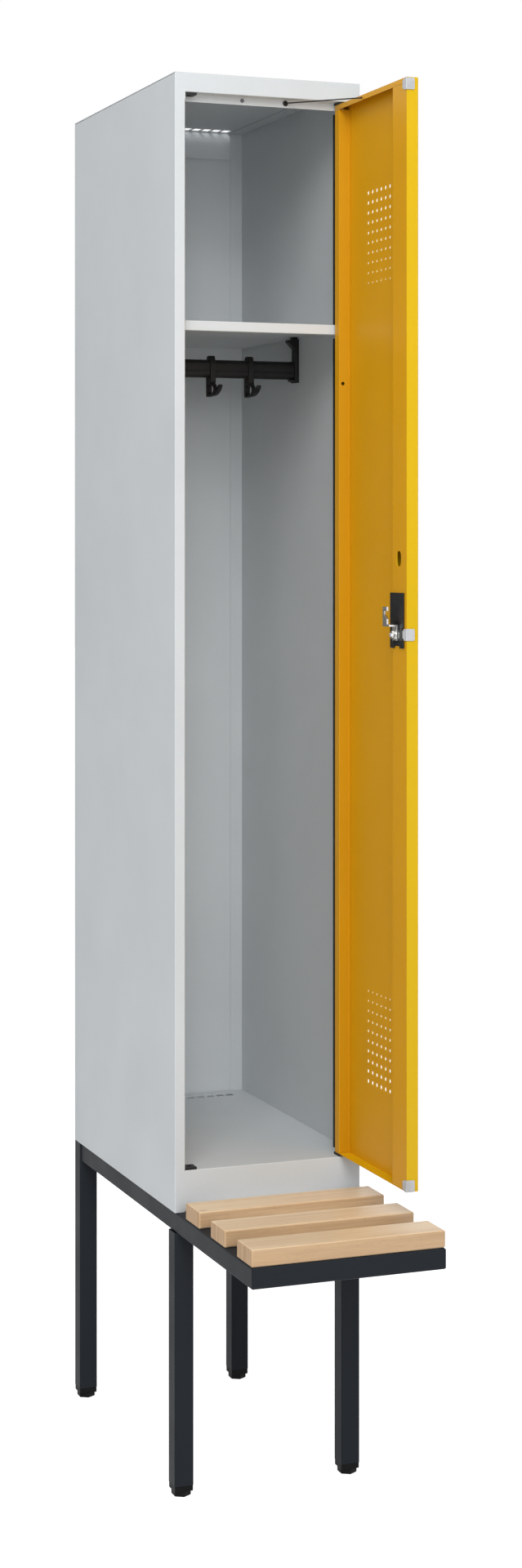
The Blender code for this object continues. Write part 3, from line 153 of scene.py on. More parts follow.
def place_of(tree, stretch=(1, 1, 1)):
    """Object coordinates, squeezed so that a pattern runs long where the number is small."""
    point = add(tree, "ShaderNodeTexCoord").outputs["Object"]
    return add(tree, "ShaderNodeMapping", {"Vector": point, "Scale": stretch}).outputs["Vector"]


def sides_of(tree):
    """How much a surface faces along each axis of its own piece."""
    facing = add(tree, "ShaderNodeTexCoord").outputs["Normal"]
    return add(tree, "ShaderNodeSeparateXYZ", {"Vector": facing}).outputs


def noise(tree, place, scale, detail=3.0, roughness=0.55):
    inputs = {"Vector": place, "Scale": scale, "Detail": detail, "Roughness": roughness}
    return add(tree, "ShaderNodeTexNoise", inputs).outputs["Fac"]


def ramp(tree, value, stops, smooth=False):
    """Colours or greys along a value; each stop is a position with a grey or a colour."""
    node = add(tree, "ShaderNodeValToRGB", {"Fac": value})
    band = node.color_ramp
    band.interpolation = "EASE" if smooth else "LINEAR"
    while len(band.elements) < len(stops):
        band.elements.new(0.5)
    for element, (position, tone) in zip(band.elements, stops):
        element.position = position
        colour = tone if isinstance(tone, tuple) else (tone, tone, tone)
        element.color = (*colour, 1)
    return node.outputs["Color"]


def blended(tree, share, first, second, mode="MIX"):
    first, second = ((*tone, 1) if isinstance(tone, tuple) else tone for tone in (first, second))
    inputs = {0: share, 6: first, 7: second}
    return add(tree, "ShaderNodeMix", inputs, data_type="RGBA", blend_type=mode).outputs[2]


def relief(tree, shader, height, strength, distance):
    inputs = {"Height": height, "Strength": strength, "Distance": distance}
    bump = add(tree, "ShaderNodeBump", inputs)
    tree.links.new(bump.outputs["Normal"], shader.inputs["Normal"])


def scaled(colour, factor):
    return tuple(channel * factor for channel in colour)


def uneven_gloss(tree, shader, pattern, roughness, less, more):
    """Lets the roughness wander with a pattern."""
    varied = ramp(tree, pattern, [(0.3, roughness - less), (0.7, roughness + more)])
    tree.links.new(varied, shader.inputs["Roughness"])


# Finishes
def powder_coat(name, colour, roughness, gloss, painted_light_by_side=()):
    """Baked powder paint: a fine orange peel, a little cloudiness, hardly any gloss.

    Sides that face one way get painted light or painted shade; each is given as an axis, a sign and
    a tint.
    """
    material, tree, shader = new_look(name, roughness)
    place = place_of(tree)
    cloud = noise(tree, place, 4.5, 4)
    tone = ramp(tree, cloud, [(0.3, scaled(colour, 0.975)), (0.7, scaled(colour, 1.02))], True)
    # Painted light and shade: faces turned along the given axis are tinted lighter or darker
    for axis, sign, tint in painted_light_by_side:
        facing = calculated(tree, "MULTIPLY", sides_of(tree)[axis], sign)
        share = ramp(tree, facing, [(0.4, 0.0), (0.9, 1.0)])
        tone = blended(tree, share, tone, blended(tree, 1.0, tone, tint, "MULTIPLY"))
    speck = noise(tree, place, 1400, 1)
    speckled = ramp(tree, speck, [(0.35, 0.955), (0.62, 1.0)])
    tree.links.new(blended(tree, 1.0, tone, speckled, "MULTIPLY"), shader.inputs["Base Color"])
    relief(tree, shader, noise(tree, place, 620, 2), 0.05, 0.12 * MM)
    uneven_gloss(tree, shader, noise(tree, place, 11, 3), roughness, 0.03, 0.05)
    shader.inputs["Specular IOR Level"].default_value = gloss
    return material


def moulded(name, colour, roughness, gloss=0.4, glow=0.0):
    """Moulded plastic or rubber with a fine spark-eroded grain."""
    material, tree, shader = new_look(name, roughness)
    place = place_of(tree)
    cloud = noise(tree, place, 26, 3)
    tone = ramp(tree, cloud, [(0.3, scaled(colour, 0.86)), (0.72, scaled(colour, 1.14))], True)
    tree.links.new(tone, shader.inputs["Base Color"])
    relief(tree, shader, noise(tree, place, 1900, 2), 0.14, 0.08 * MM)
    shader.inputs["Specular IOR Level"].default_value = gloss
    if glow:
        shader.inputs["Subsurface Weight"].default_value = glow
        shader.inputs["Subsurface Radius"].default_value = (1.0, 1.0, 1.2)
        shader.inputs["Subsurface Scale"].default_value = 1.5 * MM
    uneven_gloss(tree, shader, noise(tree, place, 90, 2), roughness, 0.05, 0.07)
    return material


def plated(name, colour, roughness, brush):
    """Plated metal with faint polishing lines that run upwards."""
    material, tree, shader = new_look(name, roughness, 1.0)
    lines = noise(tree, place_of(tree, (1, 1, 0.06)), brush, 3)
    cloud = noise(tree, place_of(tree), 130, 3)
    tone = ramp(tree, cloud, [(0.25, scaled(colour, 0.93)), (0.75, scaled(colour, 1.04))], True)
    tree.links.new(tone, shader.inputs["Base Color"])
    uneven_gloss(tree, shader, lines, roughness, 0.03, 0.06)
    relief(tree, shader, lines, 0.04, 0.02 * MM)
    return material


UNCHANGED = (1.0, 1.0, 1.0)


def lacquered_beech(name):
    """Beech under clear lacquer: streaks and flecks along the slat, banded ends, and painted shade
    that leaves the tops pale and makes the upright sides darker and warmer.
    """
    material, tree, shader = new_look(name, 0.4)
    streak = noise(tree, place_of(tree, (1.3, 30, 22)), 1.0, 5, 0.6)
    wood = ramp(tree, streak, [
        (0.22, (0.640, 0.440, 0.250)),
        (0.42, (0.790, 0.580, 0.360)),
        (0.58, (0.860, 0.660, 0.430)),
        (0.80, (0.900, 0.730, 0.510)),
    ])
    vein = noise(tree, place_of(tree, (2.4, 105, 105)), 1.0, 4, 0.6)
    veined = ramp(tree, vein, [
        (0.3, (0.86, 0.79, 0.71)), (0.5, UNCHANGED), (0.75, (1.03, 1.05, 1.08)),
    ])
    wood = blended(tree, 0.75, wood, veined, "MULTIPLY")
    fibre = noise(tree, place_of(tree, (14, 420, 420)), 1.0, 3)
    fibred = ramp(tree, fibre, [(0.28, 0.90), (0.6, 1.0), (0.85, 1.04)])
    wood = blended(tree, 1.0, wood, fibred, "MULTIPLY")
    fleck = noise(tree, place_of(tree, (95, 900, 520)), 1.0, 1)
    flecked = ramp(tree, fleck, [(0.25, (0.62, 0.5, 0.42)), (0.36, UNCHANGED)])
    wood = blended(tree, 0.28, wood, flecked, "MULTIPLY")
    knot = add(tree, "ShaderNodeTexVoronoi", {"Vector": place_of(tree, (7, 17, 17)), "Scale": 1.35})
    near_knot = knot.outputs["Distance"]
    knotted = ramp(tree, near_knot, [(0.03, (0.5, 0.33, 0.24)), (0.11, UNCHANGED)], True)
    wood = blended(tree, 0.62, wood, knotted, "MULTIPLY")
    band = noise(tree, place_of(tree, (2, 130, 9)), 1.0, 3)
    banded = ramp(tree, band, [
        (0.3, (0.400, 0.235, 0.110)),
        (0.5, (0.470, 0.290, 0.145)),
        (0.72, (0.580, 0.385, 0.215)),
    ])
    sides = sides_of(tree)
    # Painted shade: sides that don't face up or down are darker and warmer than the tops
    top = ramp(tree, calculated(tree, "ABSOLUTE", sides["Z"]), [(0.45, 0.0), (0.85, 1.0)])
    painted_side_shade = blended(tree, 1.0, wood, (0.70, 0.615, 0.54), "MULTIPLY")
    wood = blended(tree, top, painted_side_shade, wood)
    end = ramp(tree, calculated(tree, "ABSOLUTE", sides["X"]), [(0.55, 0.0), (0.85, 1.0)])
    tree.links.new(blended(tree, end, wood, banded), shader.inputs["Base Color"])
    tree.links.new(ramp(tree, end, [(0.0, 0.4), (1.0, 0.7)]), shader.inputs["Roughness"])
    relief(tree, shader, fibre, 0.12, 0.12 * MM)
    shader.inputs["Coat Weight"].default_value = 0.22
    shader.inputs["Coat Roughness"].default_value = 0.28
    return material


# Painted light and shade on the sides that face one way: the axis, its sign and the tint
DOOR_YELLOW = (0.70, 0.400, 0.0012)
# Painted shade: the door's inner skin and its undersides darker and more orange
DOOR_INSIDE_PAINTED_SHADE = (("X", -1.0, (1.0, 0.84, 1.0)), ("Z", -1.0, (0.85, 0.62, 1.0)))
# Painted light: the door's free edge lighter and yellower
DOOR_FREE_EDGE_PAINTED_LIGHT = ("Y", -1.0, (1.0, 1.1, 0.8))
# Painted shade: the front-facing side of the hinge-side stiffener darker and more orange
STIFFENER_SIDE_PAINTED_SHADE = ("Y", -1.0, (0.80, 0.67, 1.0))
# Painted shade: the frame tubes' left-facing sides darker
TUBE_LEFT_SIDE_PAINTED_SHADE = ("X", -1.0, (0.76, 0.76, 0.76))
LOOKS = {
    "body_paint": powder_coat("light_grey_powder_coat", (0.600, 0.631, 0.648), 0.46, 0.4),
    # Yellow paint with painted shade on the door's inside and undersides and painted light on its
    # free edge
    "door_paint": powder_coat(
        "yellow_powder_coat", DOOR_YELLOW, 0.42, 0.3, (*DOOR_INSIDE_PAINTED_SHADE, DOOR_FREE_EDGE_PAINTED_LIGHT)),
    # Anthracite paint with painted shade on the tubes' left-facing sides
    "frame_paint": powder_coat(
        "anthracite_powder_coat", (0.0195, 0.0228, 0.0275), 0.46, 0.06, (TUBE_LEFT_SIDE_PAINTED_SHADE,)),
    "slat_wood": lacquered_beech("lacquered_beech"),
    "black_plastic": moulded("black_moulding", (0.0085, 0.0085, 0.0088), 0.46, 0.3),
    "grey_plastic": moulded("grey_moulding", (0.13, 0.135, 0.14), 0.5),
    "pale_plastic": moulded("pale_moulding", (0.49, 0.495, 0.51), 0.36, 0.4, 0.25),
    "black_rubber": moulded("black_cord", (0.008, 0.008, 0.0085), 0.62, 0.3),
    "nickel": plated("nickel_plate", (0.85, 0.84, 0.82), 0.2, 900),
    "bright_steel": plated("zinc_plate", (0.62, 0.64, 0.67), 0.3, 700),
}
FOOT_LOOK = moulded("foot_moulding", (0.0035, 0.0036, 0.0038), 0.6, 0.12)
SPECIAL_LOOKS = {"tube_insert_" + corner: FOOT_LOOK for corner in FRAME_CORNERS}
# The hinge-side stiffener's paint, with painted shade on its inside, its undersides and its
# front-facing side
SPECIAL_LOOKS["door_channel_hinge"] = powder_coat(
    "yellow_powder_coat_painted_shade", DOOR_YELLOW, 0.42, 0.3, (*DOOR_INSIDE_PAINTED_SHADE, STIFFENER_SIDE_PAINTED_SHADE))


def look_of(node):
    return SPECIAL_LOOKS.get(node, LOOKS[SLOT_OF[node]])


# Mesh tools
def solid(node):
    """A closed copy of a CAD solid, its corners merged and its flat faces made whole."""
    shape = bmesh.new()
    shape.from_mesh(frame["nodes"][node].data)
    bmesh.ops.remove_doubles(shape, verts=shape.verts[:], dist=WELD)
    whole(shape)
    return shape


def whole(shape):
    bmesh.ops.dissolve_limit(shape, angle_limit=FLAT, verts=shape.verts[:], edges=shape.edges[:])


def turn_at(edge):
    return edge.calc_face_angle(0.0) if len(edge.link_faces) == 2 else 0.0


def narrowest(edge):
    """The width of the narrower face beside an edge, taken across the edge."""
    length = max(edge.calc_length(), MM)
    return min(face.calc_area() for face in edge.link_faces) / length


def round_over(shape, edges, width, segments, clamp=True):
    if edges:
        bmesh.ops.bevel(
            shape, geom=edges, offset=width, offset_type="OFFSET", segments=segments,
            profile=0.5, affect="EDGES", clamp_overlap=clamp, miter_outer="SHARP",
        )


def corners(shape, least=0.0):
    return [e for e in shape.edges if turn_at(e) > CORNER and e.calc_length() > least]


def folds(shape, convex, least):
    """The corners, all outside or all inside, at which a sheet is folded."""
    found = []
    for edge in corners(shape, least):
        if edge.is_convex == convex and narrowest(edge) > SHEET_WIDTH:
            found.append(edge)
    return found


def mesh_object(name, shape, look):
    mesh = bpy.data.meshes.new(name)
    shape.to_mesh(mesh)
    shape.free()
    mesh.materials.append(look)
    obj = bpy.data.objects.new(name, mesh)
    bpy.context.scene.collection.objects.link(obj)
    return obj


def settle(obj):
    """Makes the object's evaluated mesh its own, without modifiers."""
    graph = bpy.context.evaluated_depsgraph_get()
    mesh = bpy.data.meshes.new_from_object(obj.evaluated_get(graph))
    obj.modifiers.clear()
    obj.data = mesh
    return obj


def fan_of(loop, waiting):
    """The face corners round a vertex that smooth edges join to this one."""
    fan, open_loops = [], [loop]
    while open_loops:
        current = open_loops.pop()
        fan.append(current)
        for edge in (current.edge, current.link_loop_prev.edge):
            if not edge.smooth:
                continue
            for other in list(waiting):
                if edge in (other.edge, other.link_loop_prev.edge):
                    waiting.remove(other)
                    open_loops.append(other)
    return fan


def even_shading(obj):
    """Round bends beside flats that stay flat: at each corner the larger faces decide."""
    mesh = obj.data
    mesh.shade_smooth()
    mesh.set_sharp_from_angle(angle=CORNER)
    shape = bmesh.new()
    shape.from_mesh(mesh)
    starts = [polygon.loop_start for polygon in mesh.polygons]
    place = {}
    for face, start in zip(shape.faces, starts):
        for i, loop in enumerate(face.loops):
            place[loop] = start + i
    pull = [face.normal * face.calc_area() ** 2 for face in shape.faces]
    normals = [Vector((0, 0, 1))] * len(mesh.loops)
    for vert in shape.verts:
        waiting = set(vert.link_loops)
        while waiting:
            fan = fan_of(waiting.pop(), waiting)
            total = sum((pull[loop.face.index] for loop in fan), Vector())
            normal = total.normalized() if total.length > 0 else fan[0].face.normal
            for loop in fan:
                normals[place[loop]] = normal
    shape.free()
    mesh.normals_split_custom_set(normals)
    return obj


def seat(obj, body, slot, *nodes):
    """Shades a finished piece and puts it on its body, in the place of its CAD solids."""
    even_shading(obj)
    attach(obj, body)
    if nodes:
        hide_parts(*nodes)
    return obj


def finished(node, shape):
    """Makes a shape the finished piece that stands for one CAD solid."""
    obj = mesh_object(node + "_finished", shape, look_of(node))
    return seat(obj, BODY_OF[node], SLOT_OF[node], node)


def loft(rings, hollow=False):
    """A closed shape through rings of equally many points; a hollow one ends at its first ring."""
    shape = bmesh.new()
    made = [[shape.verts.new(point) for point in ring] for ring in rings]
    follow = made[1:] + made[:1] if hollow else made[1:]
    for near, far in zip(made, follow):
        for i in range(len(near)):
            j = (i + 1) % len(near)
            shape.faces.new((near[i], near[j], far[j], far[i]))
    if not hollow:
        shape.faces.new(list(reversed(made[0])))
        shape.faces.new(made[-1])
    bmesh.ops.recalc_face_normals(shape, faces=shape.faces[:])
    return shape


def together(*shapes):
    """Puts closed shapes into one mesh."""
    whole_shape = shapes[0]
    for shape in shapes[1:]:
        spare = bpy.data.meshes.new("spare")
        shape.to_mesh(spare)
        shape.free()
        whole_shape.from_mesh(spare)
        bpy.data.meshes.remove(spare)
    return whole_shape


def circle(centre, first, second, radius, sides):
    turns = [2 * math.pi * i / sides for i in range(sides)]
    return [centre + (first * math.cos(t) + second * math.sin(t)) * radius for t in turns]


def turned(profile, centre, axis, sides=TURNED_SIDES, hollow=False):
    """A turned piece: the profile's radius and distance along the axis, from the centre."""
    along = Vector(axis)
    first = along.orthogonal().normalized()
    second = along.cross(first)
    rings = []
    for radius, distance in profile:
        rings.append(circle(Vector(centre) + along * distance, first, second, radius, sides))
    return loft(rings, hollow)


def combined(obj, helper_shape, operation="DIFFERENCE"):
    """Cuts a helper shape out of the object, or joins the two, exactly."""
    helper = mesh_object(obj.name + "_helper", helper_shape, obj.data.materials[0])
    step = obj.modifiers.new("combined", "BOOLEAN")
    step.operation = operation
    step.solver = "EXACT"
    step.object = helper
    settle(obj)
    bpy.data.objects.remove(helper)
    return obj


def block(low, high):
    shape = bmesh.new()
    size = Vector(high) - Vector(low)
    centre = (Vector(high) + Vector(low)) / 2
    bmesh.ops.create_cube(shape, size=1.0, matrix=Matrix.LocRotScale(centre, None, size))
    return shape


def softened(outline, times=2):
    """A closed outline whose corners are cut again and again until they are round."""
    points = [Vector(point) for point in outline]
    for _ in range(times):
        cut = []
        for point, after in zip(points, points[1:] + points[:1]):
            cut += [point.lerp(after, 0.25), point.lerp(after, 0.75)]
        points = cut
    return points


def inset(outline, depth):
    """A closed outline moved inwards by a depth, or outwards where the depth is negative."""
    points = [Vector(point) for point in outline]
    following = points[1:] + points[:1]
    area = sum(a.x * b.y - b.x * a.y for a, b in zip(points, following))
    inward = math.copysign(1, area)
    moved = []
    for before, point, after in zip(points[-1:] + points[:-1], points, following):
        first, second = (point - before).normalized(), (after - point).normalized()
        near = Vector((-first.y, first.x)) * inward
        far = Vector((-second.y, second.x)) * inward
        moved.append(point + (near + far) / (1 + near.dot(far)) * depth)
    return moved


def quarter_turn(steps):
    """How far a rounded rim has come along, and how far it still draws in, at each step."""
    turns = [math.pi / 2 * i / steps for i in range(steps + 1)]
    return [(1 - math.cos(turn), 1 - math.sin(turn)) for turn in turns]


def eased_steps(low, high, ease):
    """Stations from low to high with how far the outline draws in there, for rounded end rims."""
    near = [(low + ease * along, ease * drawn) for along, drawn in quarter_turn(EASE_STEPS)]
    far = [(low + high - station, depth) for station, depth in reversed(near)]
    return near + far


def across_locker(outline, centre, half_width, ease, overrun=0.0):
    """A prism along X from an outline, forward and up; with an overrun, a flared cutter."""
    stations = eased_steps(-half_width, half_width, ease)
    if overrun:
        stations = [(-half_width - overrun, ease), *stations, (half_width + overrun, ease)]
        stations = [(station, -depth) for station, depth in stations]
    rings = []
    for station, depth in stations:
        ring = inset(outline, depth)
        x = centre.x + station
        rings.append([(x, centre.y - point.x, centre.z + point.y) for point in ring])
    return loft(rings)


# Geometry Nodes tools
def new_tree(name, **sizes):
    """A node tree with one geometry in and out; its further inputs are named under their kind."""
    tree = bpy.data.node_groups.new(name, "GeometryNodeTree")
    face = tree.interface
    inputs = {"Geometry": ("Geometry",), **sizes, "Material": ("Finish",)}
    for kind, labels in inputs.items():
        for label in labels:
            face.new_socket(label, in_out="INPUT", socket_type="NodeSocket" + kind)
    face.new_socket("Geometry", in_out="OUTPUT", socket_type="NodeSocketGeometry")
    return tree, tree.nodes.new("NodeGroupInput").outputs


def cut_out(tree, piece, tool):
    """The piece with the tool's shape cut out of it."""
    inputs = {"Mesh 1": piece, "Mesh 2": tool}
    kind = "GeometryNodeMeshBoolean"
    return add(tree, kind, inputs, operation="DIFFERENCE", solver="EXACT").outputs["Mesh"]


def end_tree(tree, geometry, finish):
    real = add(tree, "GeometryNodeRealizeInstances", {"Geometry": geometry})
    coloured = add(tree, "GeometryNodeSetMaterial", {
        "Geometry": real.outputs[0], "Material": finish,
    })
    out = tree.nodes.new("NodeGroupOutput")
    tree.links.new(coloured.outputs[0], out.inputs[0])


def grow(obj, tree, values):
    """Runs a tree on the object with the given input values and keeps the mesh."""
    modifier = obj.modifiers.new(tree.name, "NODES")
    modifier.node_group = tree
    for item in tree.interface.items_tree:
        if item.in_out == "INPUT" and item.name in values:
            modifier[item.identifier] = values[item.name]
    return settle(obj)


# Sheet steel of the locker's body and of its door
SHEET_NODES = (
    "side_panel_left", "side_panel_right", "roof_panel", "front_top_rail", "floor_pan", "shelf",
    "back_panel",
)
STIFFENER_NODES = ("door_channel_hinge", "door_channel_lock")


def folded_sheets(nodes, least):
    """Pieces with round bends where corners at least so long are folded."""
    for node in nodes:
        shape = solid(node)
        round_over(shape, folds(shape, False, least), FOLD_INSIDE, FOLD_SEGMENTS, False)
        round_over(shape, folds(shape, True, least), FOLD_OUTSIDE, FOLD_SEGMENTS, False)
        finished(node, shape)


def seam(name, low, high):
    obj = mesh_object(name, block(low, high), LOOKS["body_paint"])
    seat(obj, "cabinet", "body_paint")


def stile_seams():
    """The ground and painted weld seams that join the stiles to the top rail and the plinth."""
    rail_foot = low_high("front_top_rail")[0].z
    stile_low, stile_high = low_high("side_panel_left")
    pan_low, pan_high = low_high("floor_pan")
    front = stile_low.y
    for label, low, high in (
        ("head", rail_foot, stile_high.z),
        ("foot", pan_low.z, pan_high.z - SHEET),
    ):
        for side, sign in (("left", -1), ("right", 1)):
            stile_end = sign * (abs(stile_low.x) - STILE_WIDTH)
            left, right = sorted((stile_end + sign * FOLD_OUTSIDE, stile_end - sign * GAP))
            name = "weld_seam_" + label + "_" + side
            seam(name, (left, front, low), (right, front + SEAM_DEPTH, high))


def roof_seams():
    """The painted seam that closes the gap under the front edge of the roof sheet."""
    roof_low, roof_high = low_high("roof_panel")
    rail_low, rail_high = low_high("front_top_rail")
    stile_top = low_high("side_panel_left")[1].z
    for label, left, right, under in (
        ("front", rail_low.x, rail_high.x, rail_high.z - FOLD_OUTSIDE),
        ("left", roof_low.x, rail_low.x, stile_top),
        ("right", rail_high.x, roof_high.x, stile_top),
    ):
        far = (right, roof_low.y + SEAM_DEPTH, roof_high.z - SHEET)
        seam("roof_seam_" + label, (left, roof_low.y, under), far)


# Door
def in_plane(item, x):
    return all(abs(vert.co.x - x) < WELD for vert in item.verts)


def plain_skin(shape, sides, low, high, lock):
    """Takes out the coarse perforation: its walls, and the skin's two sides, filled again."""
    doomed = []
    for face in shape.faces:
        heights = [vert.co.z for vert in face.verts]
        depths = [vert.co.x for vert in face.verts]
        wall = face.calc_area() < SMALL_FACE and max(depths) - min(depths) > SHEET / 2
        inside = min(heights) > low + CLEAR_OF_ENDS and max(heights) < high - CLEAR_OF_ENDS
        near_lock = max(heights) > lock - CLEAR_OF_LOCK and min(heights) < lock + CLEAR_OF_LOCK
        through = min(depths) > min(sides) - WELD
        if any(in_plane(face, x) for x in sides) or (wall and through and inside and not near_lock):
            doomed.append(face)
    bmesh.ops.delete(shape, geom=doomed, context="FACES")
    for x, outward in zip(sides, (1, -1)):
        open_edges = [edge for edge in shape.edges if edge.is_boundary and in_plane(edge, x)]
        bmesh.ops.triangle_fill(
            shape, use_beauty=True, use_dissolve=True, edges=open_edges, normal=(outward, 0, 0))
    bmesh.ops.recalc_face_normals(shape, faces=shape.faces[:])
    whole(shape)


def perforation_tree():
    """Two fields of round holes that shrink row by row towards the middle of the door."""
    tree, given = new_tree(
        "graded perforation", Int=("Columns", "Rows", "Sides"),
        Float=("Pitch across", "Pitch up", "Largest", "Smallest", "Depth"),
        Vector=("Upper corner", "Lower corner"),
    )
    width, height = (
        calculated(tree, "MULTIPLY", calculated(tree, "SUBTRACT", given[count], 1.0), given[pitch])
        for count, pitch in (("Columns", "Pitch across"), ("Rows", "Pitch up"))
    )
    grid = add(tree, "GeometryNodeMeshGrid", {
        "Size X": width, "Size Y": height,
        "Vertices X": given["Columns"], "Vertices Y": given["Rows"],
    })
    place = add(tree, "GeometryNodeInputPosition").outputs[0]
    up = add(tree, "ShaderNodeSeparateXYZ", {"Vector": place}).outputs["Y"]
    half = calculated(tree, "MULTIPLY", height, 0.5)
    diameter = add(tree, "ShaderNodeMapRange", {
        "Value": up, "From Min": calculated(tree, "MULTIPLY", half, -1.0), "From Max": half,
        "To Min": given["Smallest"], "To Max": given["Largest"],
    }).outputs[0]
    punch = add(tree, "GeometryNodeMeshCylinder", {
        "Vertices": given["Sides"], "Radius": 0.5, "Depth": given["Depth"],
    })
    size = add(tree, "ShaderNodeCombineXYZ", {"X": diameter, "Y": diameter, "Z": 1.0})
    punches = add(tree, "GeometryNodeInstanceOnPoints", {
        "Points": grid.outputs["Mesh"], "Instance": punch.outputs["Mesh"], "Scale": size.outputs[0],
    })
    corner = add(tree, "ShaderNodeCombineXYZ", {
        "X": calculated(tree, "MULTIPLY", width, -0.5),
        "Y": calculated(tree, "MULTIPLY", height, -0.5),
    })
    both = add(tree, "GeometryNodeJoinGeometry")
    for label, turn in (("Upper corner", math.pi / 2), ("Lower corner", -math.pi / 2)):
        shifted = add(tree, "GeometryNodeTransform", {
            "Geometry": punches.outputs[0], "Translation": corner.outputs[0],
        })
        turned_field = add(tree, "GeometryNodeTransform", {
            "Geometry": shifted.outputs[0], "Rotation": (turn, 0, math.pi / 2),
            "Translation": given[label],
        })
        tree.links.new(turned_field.outputs[0], both.inputs[0])
    real = add(tree, "GeometryNodeRealizeInstances", {"Geometry": both.outputs[0]})
    end_tree(tree, cut_out(tree, given["Geometry"], real.outputs[0]), given["Finish"])
    return tree


def door_skin():
    low, high = low_high("door_shell")
    shape = solid("door_shell")
    plain_skin(shape, (high.x, high.x - SHEET), low.z, high.z, middle_of("lock_barrel").z)
    round_over(shape, folds(shape, False, DOOR_FOLD_LENGTH), FOLD_INSIDE, FOLD_SEGMENTS, False)
    outer = [edge for edge in folds(shape, True, DOOR_FOLD_LENGTH) if in_plane(edge, high.x)]
    round_over(shape, outer, FOLD_OUTSIDE, FOLD_SEGMENTS, False)
    obj = mesh_object("door_skin", shape, LOOKS["door_paint"])
    first = high.y - HOLE_FIRST_FROM_HINGE
    grow(obj, perforation_tree(), {
        "Columns": HOLE_COLUMNS, "Rows": HOLE_ROWS,
        "Pitch across": HOLE_PITCH_ACROSS, "Pitch up": HOLE_PITCH_UP,
        "Largest": HOLE_LARGEST, "Smallest": HOLE_SMALLEST,
        "Sides": HOLE_SIDES, "Depth": PUNCH_DEPTH,
        "Upper corner": (high.x, first, high.z - HOLE_FIELD_FROM_TOP),
        "Lower corner": (high.x, first, low.z + HOLE_FIELD_FROM_FOOT),
        "Finish": LOOKS["door_paint"],
    })
    seat(obj, "door", "door_paint", "door_shell")


# Mouldings: the kind, which of the kind there are, and how far their edges are eased
MOULDINGS = (
    ("edge_trim_", ("lower", "upper"), 0.35 * MM),
    ("bearing_", ("lower_left", "lower_right", "upper_left", "upper_right"), 0.5 * MM),
    ("rail_bracket_", ("left", "right"), 0.5 * MM),
    ("tube_insert_", FRAME_CORNERS, 0.35 * MM),
    ("lock_", ("plate",), 0.3 * MM),
)


def mouldings():
    for kind, places, ease in MOULDINGS:
        for place in places:
            shape = solid(kind + place)
            round_over(shape, corners(shape), ease, EASE_SEGMENTS)
            finished(kind + place, shape)


# Buffers: plates bent round the door's free edge
BUFFER_SHEET = 1.2 * MM
BUFFER_CHAMFER = (7.0 * MM, 3.4 * MM)
BUFFER_ROUNDING = 2.4 * MM
BUFFER_BEND = 0.9 * MM
BUFFER_EASE = 0.3 * MM
BUFFER_STEPS = 6


def buffer_outline(low, high, back, end):
    """The bent plate from above, with its leg on the door's face and its leg on the free edge."""
    turn = quarter_turn(BUFFER_STEPS)
    bend = [(low.x + BUFFER_BEND * across, low.y + BUFFER_BEND * along) for across, along in turn]
    return [
        (low.x, high.y - back), *bend, (high.x - end, low.y), (high.x - end, low.y + BUFFER_SHEET),
        (low.x + BUFFER_SHEET, low.y + BUFFER_SHEET), (low.x + BUFFER_SHEET, high.y - back),
    ]


def buffer_levels():
    """Heights above the buffer's lower rim with how far each leg and the rim draw in there."""
    turn = quarter_turn(BUFFER_STEPS)
    round_end = [(BUFFER_ROUNDING * height, BUFFER_ROUNDING * end) for height, end in turn]
    long_way, short_way = BUFFER_CHAMFER
    levels = []
    for height, end in round_end + [(short_way, 0.0)]:
        missing = max(BUFFER_EASE - height, 0.0)
        rim = BUFFER_EASE - math.sqrt(BUFFER_EASE ** 2 - missing ** 2)
        levels.append((height, long_way * (1 - height / short_way), end, rim))
    return levels


def buffers():
    for label in ("lower", "middle", "upper"):
        node = "edge_buffer_" + label
        low, high = low_high(node)
        levels = [(low.z + height, *rest) for height, *rest in buffer_levels()]
        levels += [(low.z + high.z - height, *rest) for height, *rest in reversed(levels)]
        rings = []
        for height, back, end, rim in levels:
            ring = inset(buffer_outline(low, high, back, end), rim)
            rings.append([(point.x, point.y, height) for point in ring])
        finished(node, loft(rings))


# Lock
CAM_EASE = 0.3 * MM
BARREL_SIDES = 56
NUT_SIDES = 6
# Turned profiles: radius and distance from the door's outer skin, in millimetres
BARREL_PROFILE = (
    (5.8, -2.7), (6.0, -2.9), (12.3, -2.9), (12.8, -2.7), (13.0, -2.2), (13.0, -0.3),
    (8.7, -0.3), (8.7, 20.9), (8.4, 21.2), (5.8, 21.2),
)
CORE_PROFILE = (
    (5.0, -3.7), (5.35, -3.6), (5.5, -3.25), (5.5, 21.2), (5.3, 21.4), (2.7, 21.4), (2.7, 30.4),
    (2.4, 30.8),
)
WASHER_PROFILE = ((3.2, 24.5), (6.1, 24.5), (6.4, 24.7), (6.4, 25.3), (6.1, 25.5), (3.2, 25.5))
NUT_PROFILE = ((5.5, 25.6), (6.1, 25.9), (6.1, 28.4), (5.5, 28.9))
KEYWAY = (4.0 * MM, 1.4 * MM, 7.0 * MM)
SPINDLE_THREAD = {"Radius": 2.75 * MM, "Crest": 0.42 * MM, "Pitch": 1.0 * MM, "Length": 9.0 * MM}
THREAD_STEPS = 20
INWARD = (-1, 0, 0)
UP = (0, 0, 1)


def in_mm(profile):
    return [(radius * MM, distance * MM) for radius, distance in profile]


